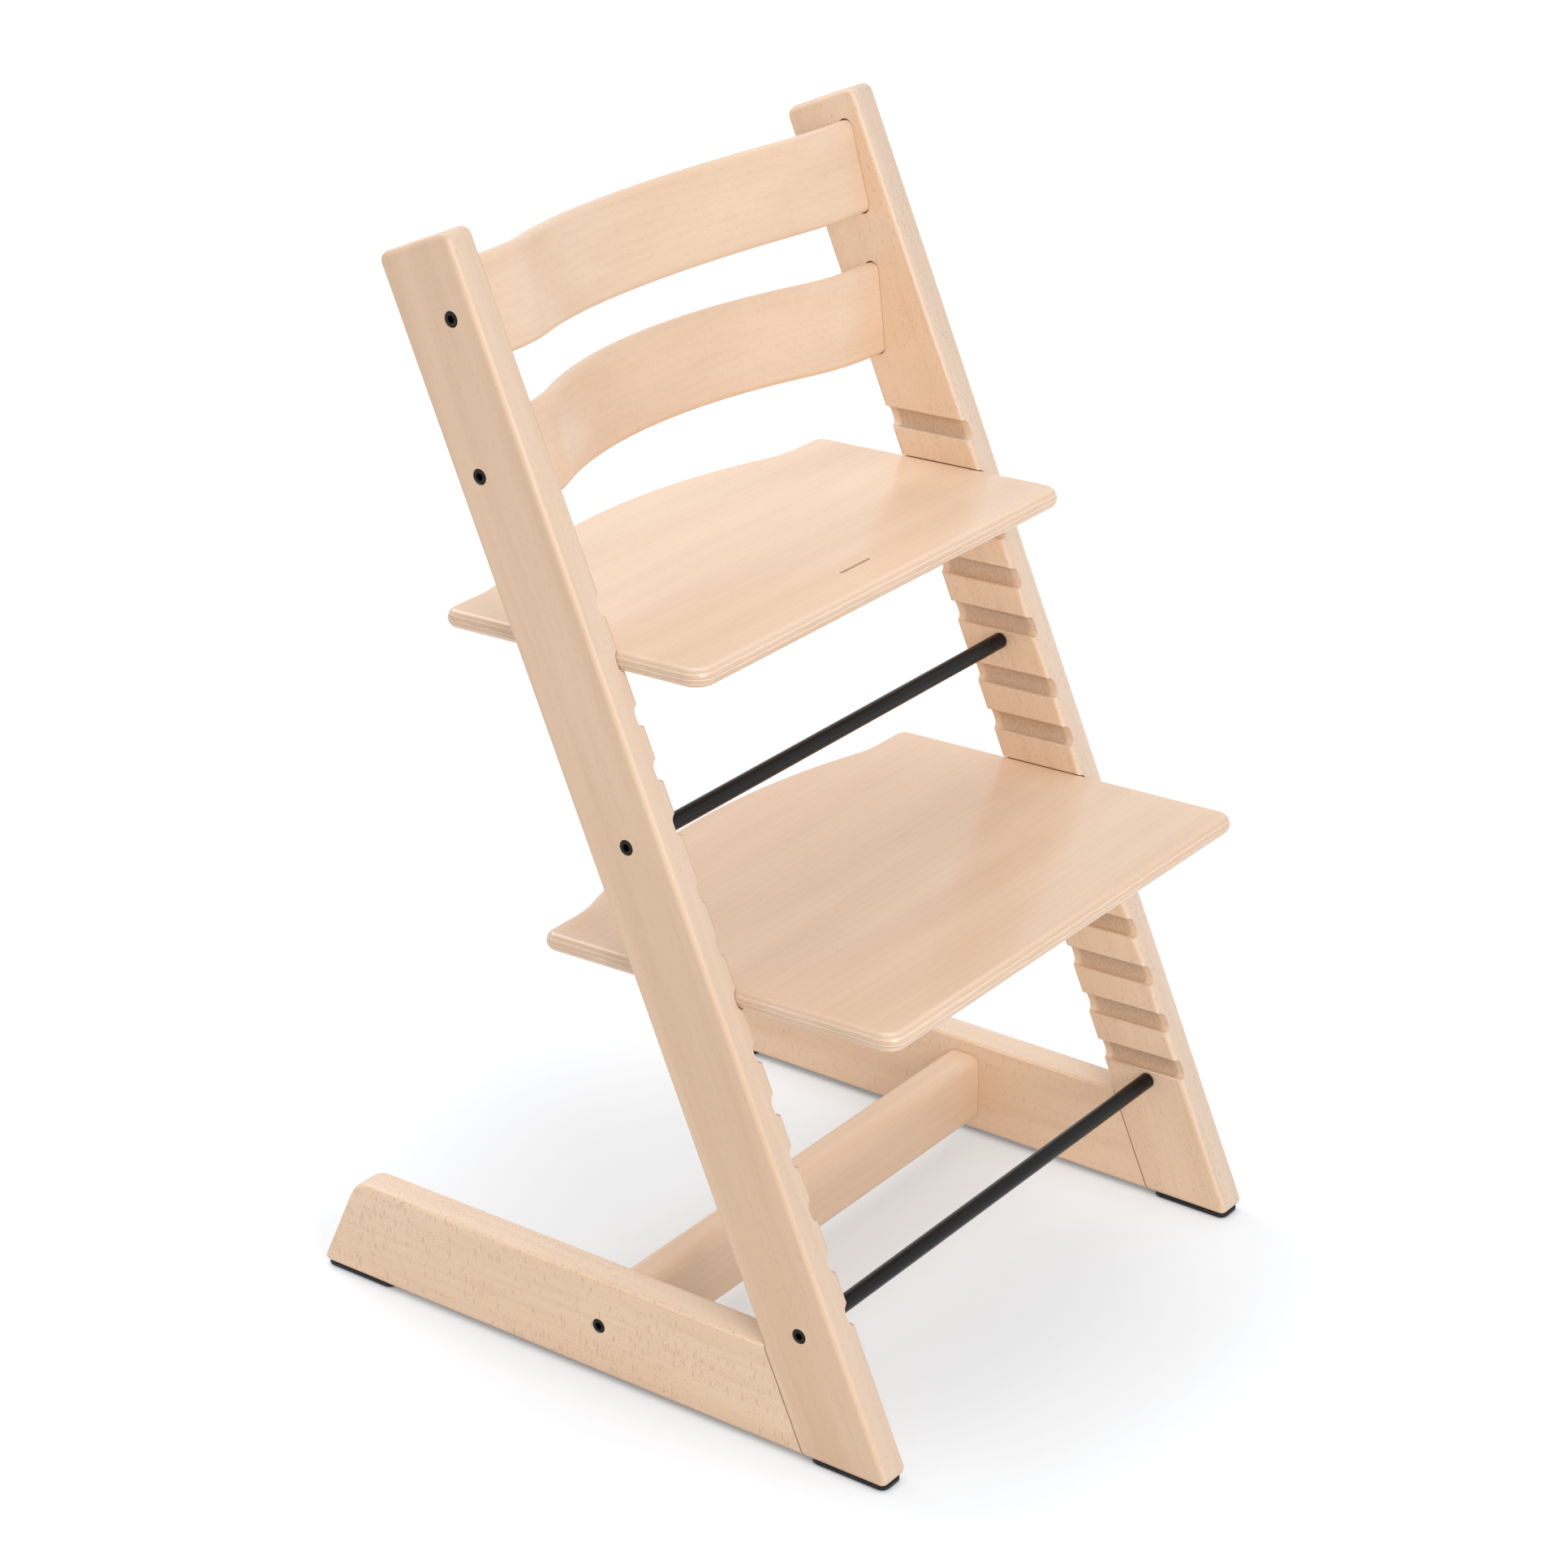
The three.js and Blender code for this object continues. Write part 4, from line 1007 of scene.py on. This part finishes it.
class CHAIR_OT_stage(Operator):
    """Sets the floor, the white surroundings, the lamps and the camera"""

    bl_idname = "chair.stage"
    bl_label = "Stage"

    def execute(self, context):
        scene = context.scene
        stage = scene.chair_stage
        half = stage.floor_size / 2
        corners = np.array([(-half, -half, 0), (half, -half, 0), (half, half, 0), (-half, half, 0)])
        floor = new_piece("floor", corners - (0, 0, FLOOR_DROP), [[0, 1, 2, 3]])
        floor.data.materials.append(self.floor_material())
        self.world(scene, stage.sky)
        for lamp in LAMPS:
            area_lamp(*lamp)
        camera = placed("camera", bpy.data.cameras.new("camera"))
        camera.data.lens = stage.lens
        camera.data.sensor_width = SENSOR
        aimed(camera, stage.camera_at, stage.camera_to)
        scene.camera = camera
        scene.view_settings.view_transform = "Standard"
        return {"FINISHED"}

    def floor_material(self):
        """White for the camera and in reflections, with the shadows of a plain matt floor, and
        painted shade: a pool round the chair and contact shadows under the pieces.
        """
        made = bpy.data.materials.new("floor_white")
        made.use_nodes = True
        nodes = Nodes(made.node_tree)
        made.node_tree.nodes.clear()
        matt = nodes.add("ShaderNodeBsdfDiffuse", Color=MATT_FLOOR)
        shade = nodes.add("ShaderNodeBsdfDiffuse", Color=SEEN_FLOOR)
        # painted shade: the glow dims towards the middle of an ellipse round the chair
        at = nodes.parts(nodes.add("ShaderNodeTexCoord").outputs["Object"])
        wide, deep = (nodes.math("DIVIDE", at[axis], SHADE_RADII[axis]) for axis in (0, 1))
        away = nodes.math("ADD", nodes.times(wide, wide), nodes.times(deep, deep))
        away = nodes.math("SQRT", away)
        near = nodes.step(away, 0.45, 1.2, 0.37, 0.53)
        far = nodes.step(away, 2.5, 9.0, 0.0, 0.35)
        # and it fails where a piece stands close over the floor, a painted contact shadow
        close = nodes.add("ShaderNodeAmbientOcclusion", {"samples": 8}, Distance=PAINTED_CONTACT_HEIGHT)
        clear = nodes.step(close.outputs["AO"], 0.05, 0.75, 0.3, 1.0)
        strength = nodes.times(nodes.math("ADD", near, far), clear)
        glow = nodes.add("ShaderNodeEmission", Color=(1, 1, 1), Strength=strength)
        lit = nodes.add("ShaderNodeAddShader", i0=shade.outputs[0], i1=glow.outputs[0]).outputs[0]
        mix = nodes.add("ShaderNodeMixShader", i0=nodes.seen(), i1=matt.outputs[0], i2=lit)
        nodes.add("ShaderNodeOutputMaterial", Surface=mix.outputs[0])
        return made

    def world(self, scene, sky):
        """An even white sky: plain strength for the object, full white where it is seen."""
        made = bpy.data.worlds.new("white room")
        made.use_nodes = True
        scene.world = made
        nodes = Nodes(made.node_tree)
        back = made.node_tree.nodes["Background"]
        nodes.feed(back, "Color", (1, 1, 1))
        nodes.feed(back, "Strength", nodes.math("MULTIPLY_ADD", nodes.seen(), 1 - sky, sky))


class CHAIR_PT_panel(Panel):
    """Buttons for each group of pieces and their settings"""

    bl_label = "High chair"
    bl_idname = "CHAIR_PT_panel"
    bl_space_type = "VIEW_3D"
    bl_region_type = "UI"
    bl_category = "High chair"

    def draw(self, context):
        for operator in OPERATORS:
            self.layout.operator(operator.bl_idname)
        for group in ("chair_sizes", "chair_finish", "chair_stage"):
            box = self.layout.box()
            settings = getattr(context.scene, group)
            for key in settings.bl_rna.properties.keys()[2:]:
                box.prop(settings, key)


GROUPS = {"chair_sizes": ChairSizes, "chair_finish": ChairFinish, "chair_stage": ChairStage}
OPERATORS = (
    CHAIR_OT_timbers,
    CHAIR_OT_plates,
    CHAIR_OT_backrests,
    CHAIR_OT_cross_bars,
    CHAIR_OT_fasteners,
    CHAIR_OT_glides,
    CHAIR_OT_stage,
)


def register():
    """Registers the settings, the operators and the panel."""
    for kind in (*GROUPS.values(), *OPERATORS, CHAIR_PT_panel):
        bpy.utils.register_class(kind)
    for name, kind in GROUPS.items():
        setattr(bpy.types.Scene, name, PointerProperty(type=kind))


def unregister():
    """Removes what register() made."""
    for name in GROUPS:
        delattr(bpy.types.Scene, name)
    for kind in reversed((*GROUPS.values(), *OPERATORS, CHAIR_PT_panel)):
        bpy.utils.unregister_class(kind)


def main():
    register()
    for operator in OPERATORS:
        family, name = operator.bl_idname.split(".")
        getattr(getattr(bpy.ops, family), name)()


if __name__ == "__main__":
    main()
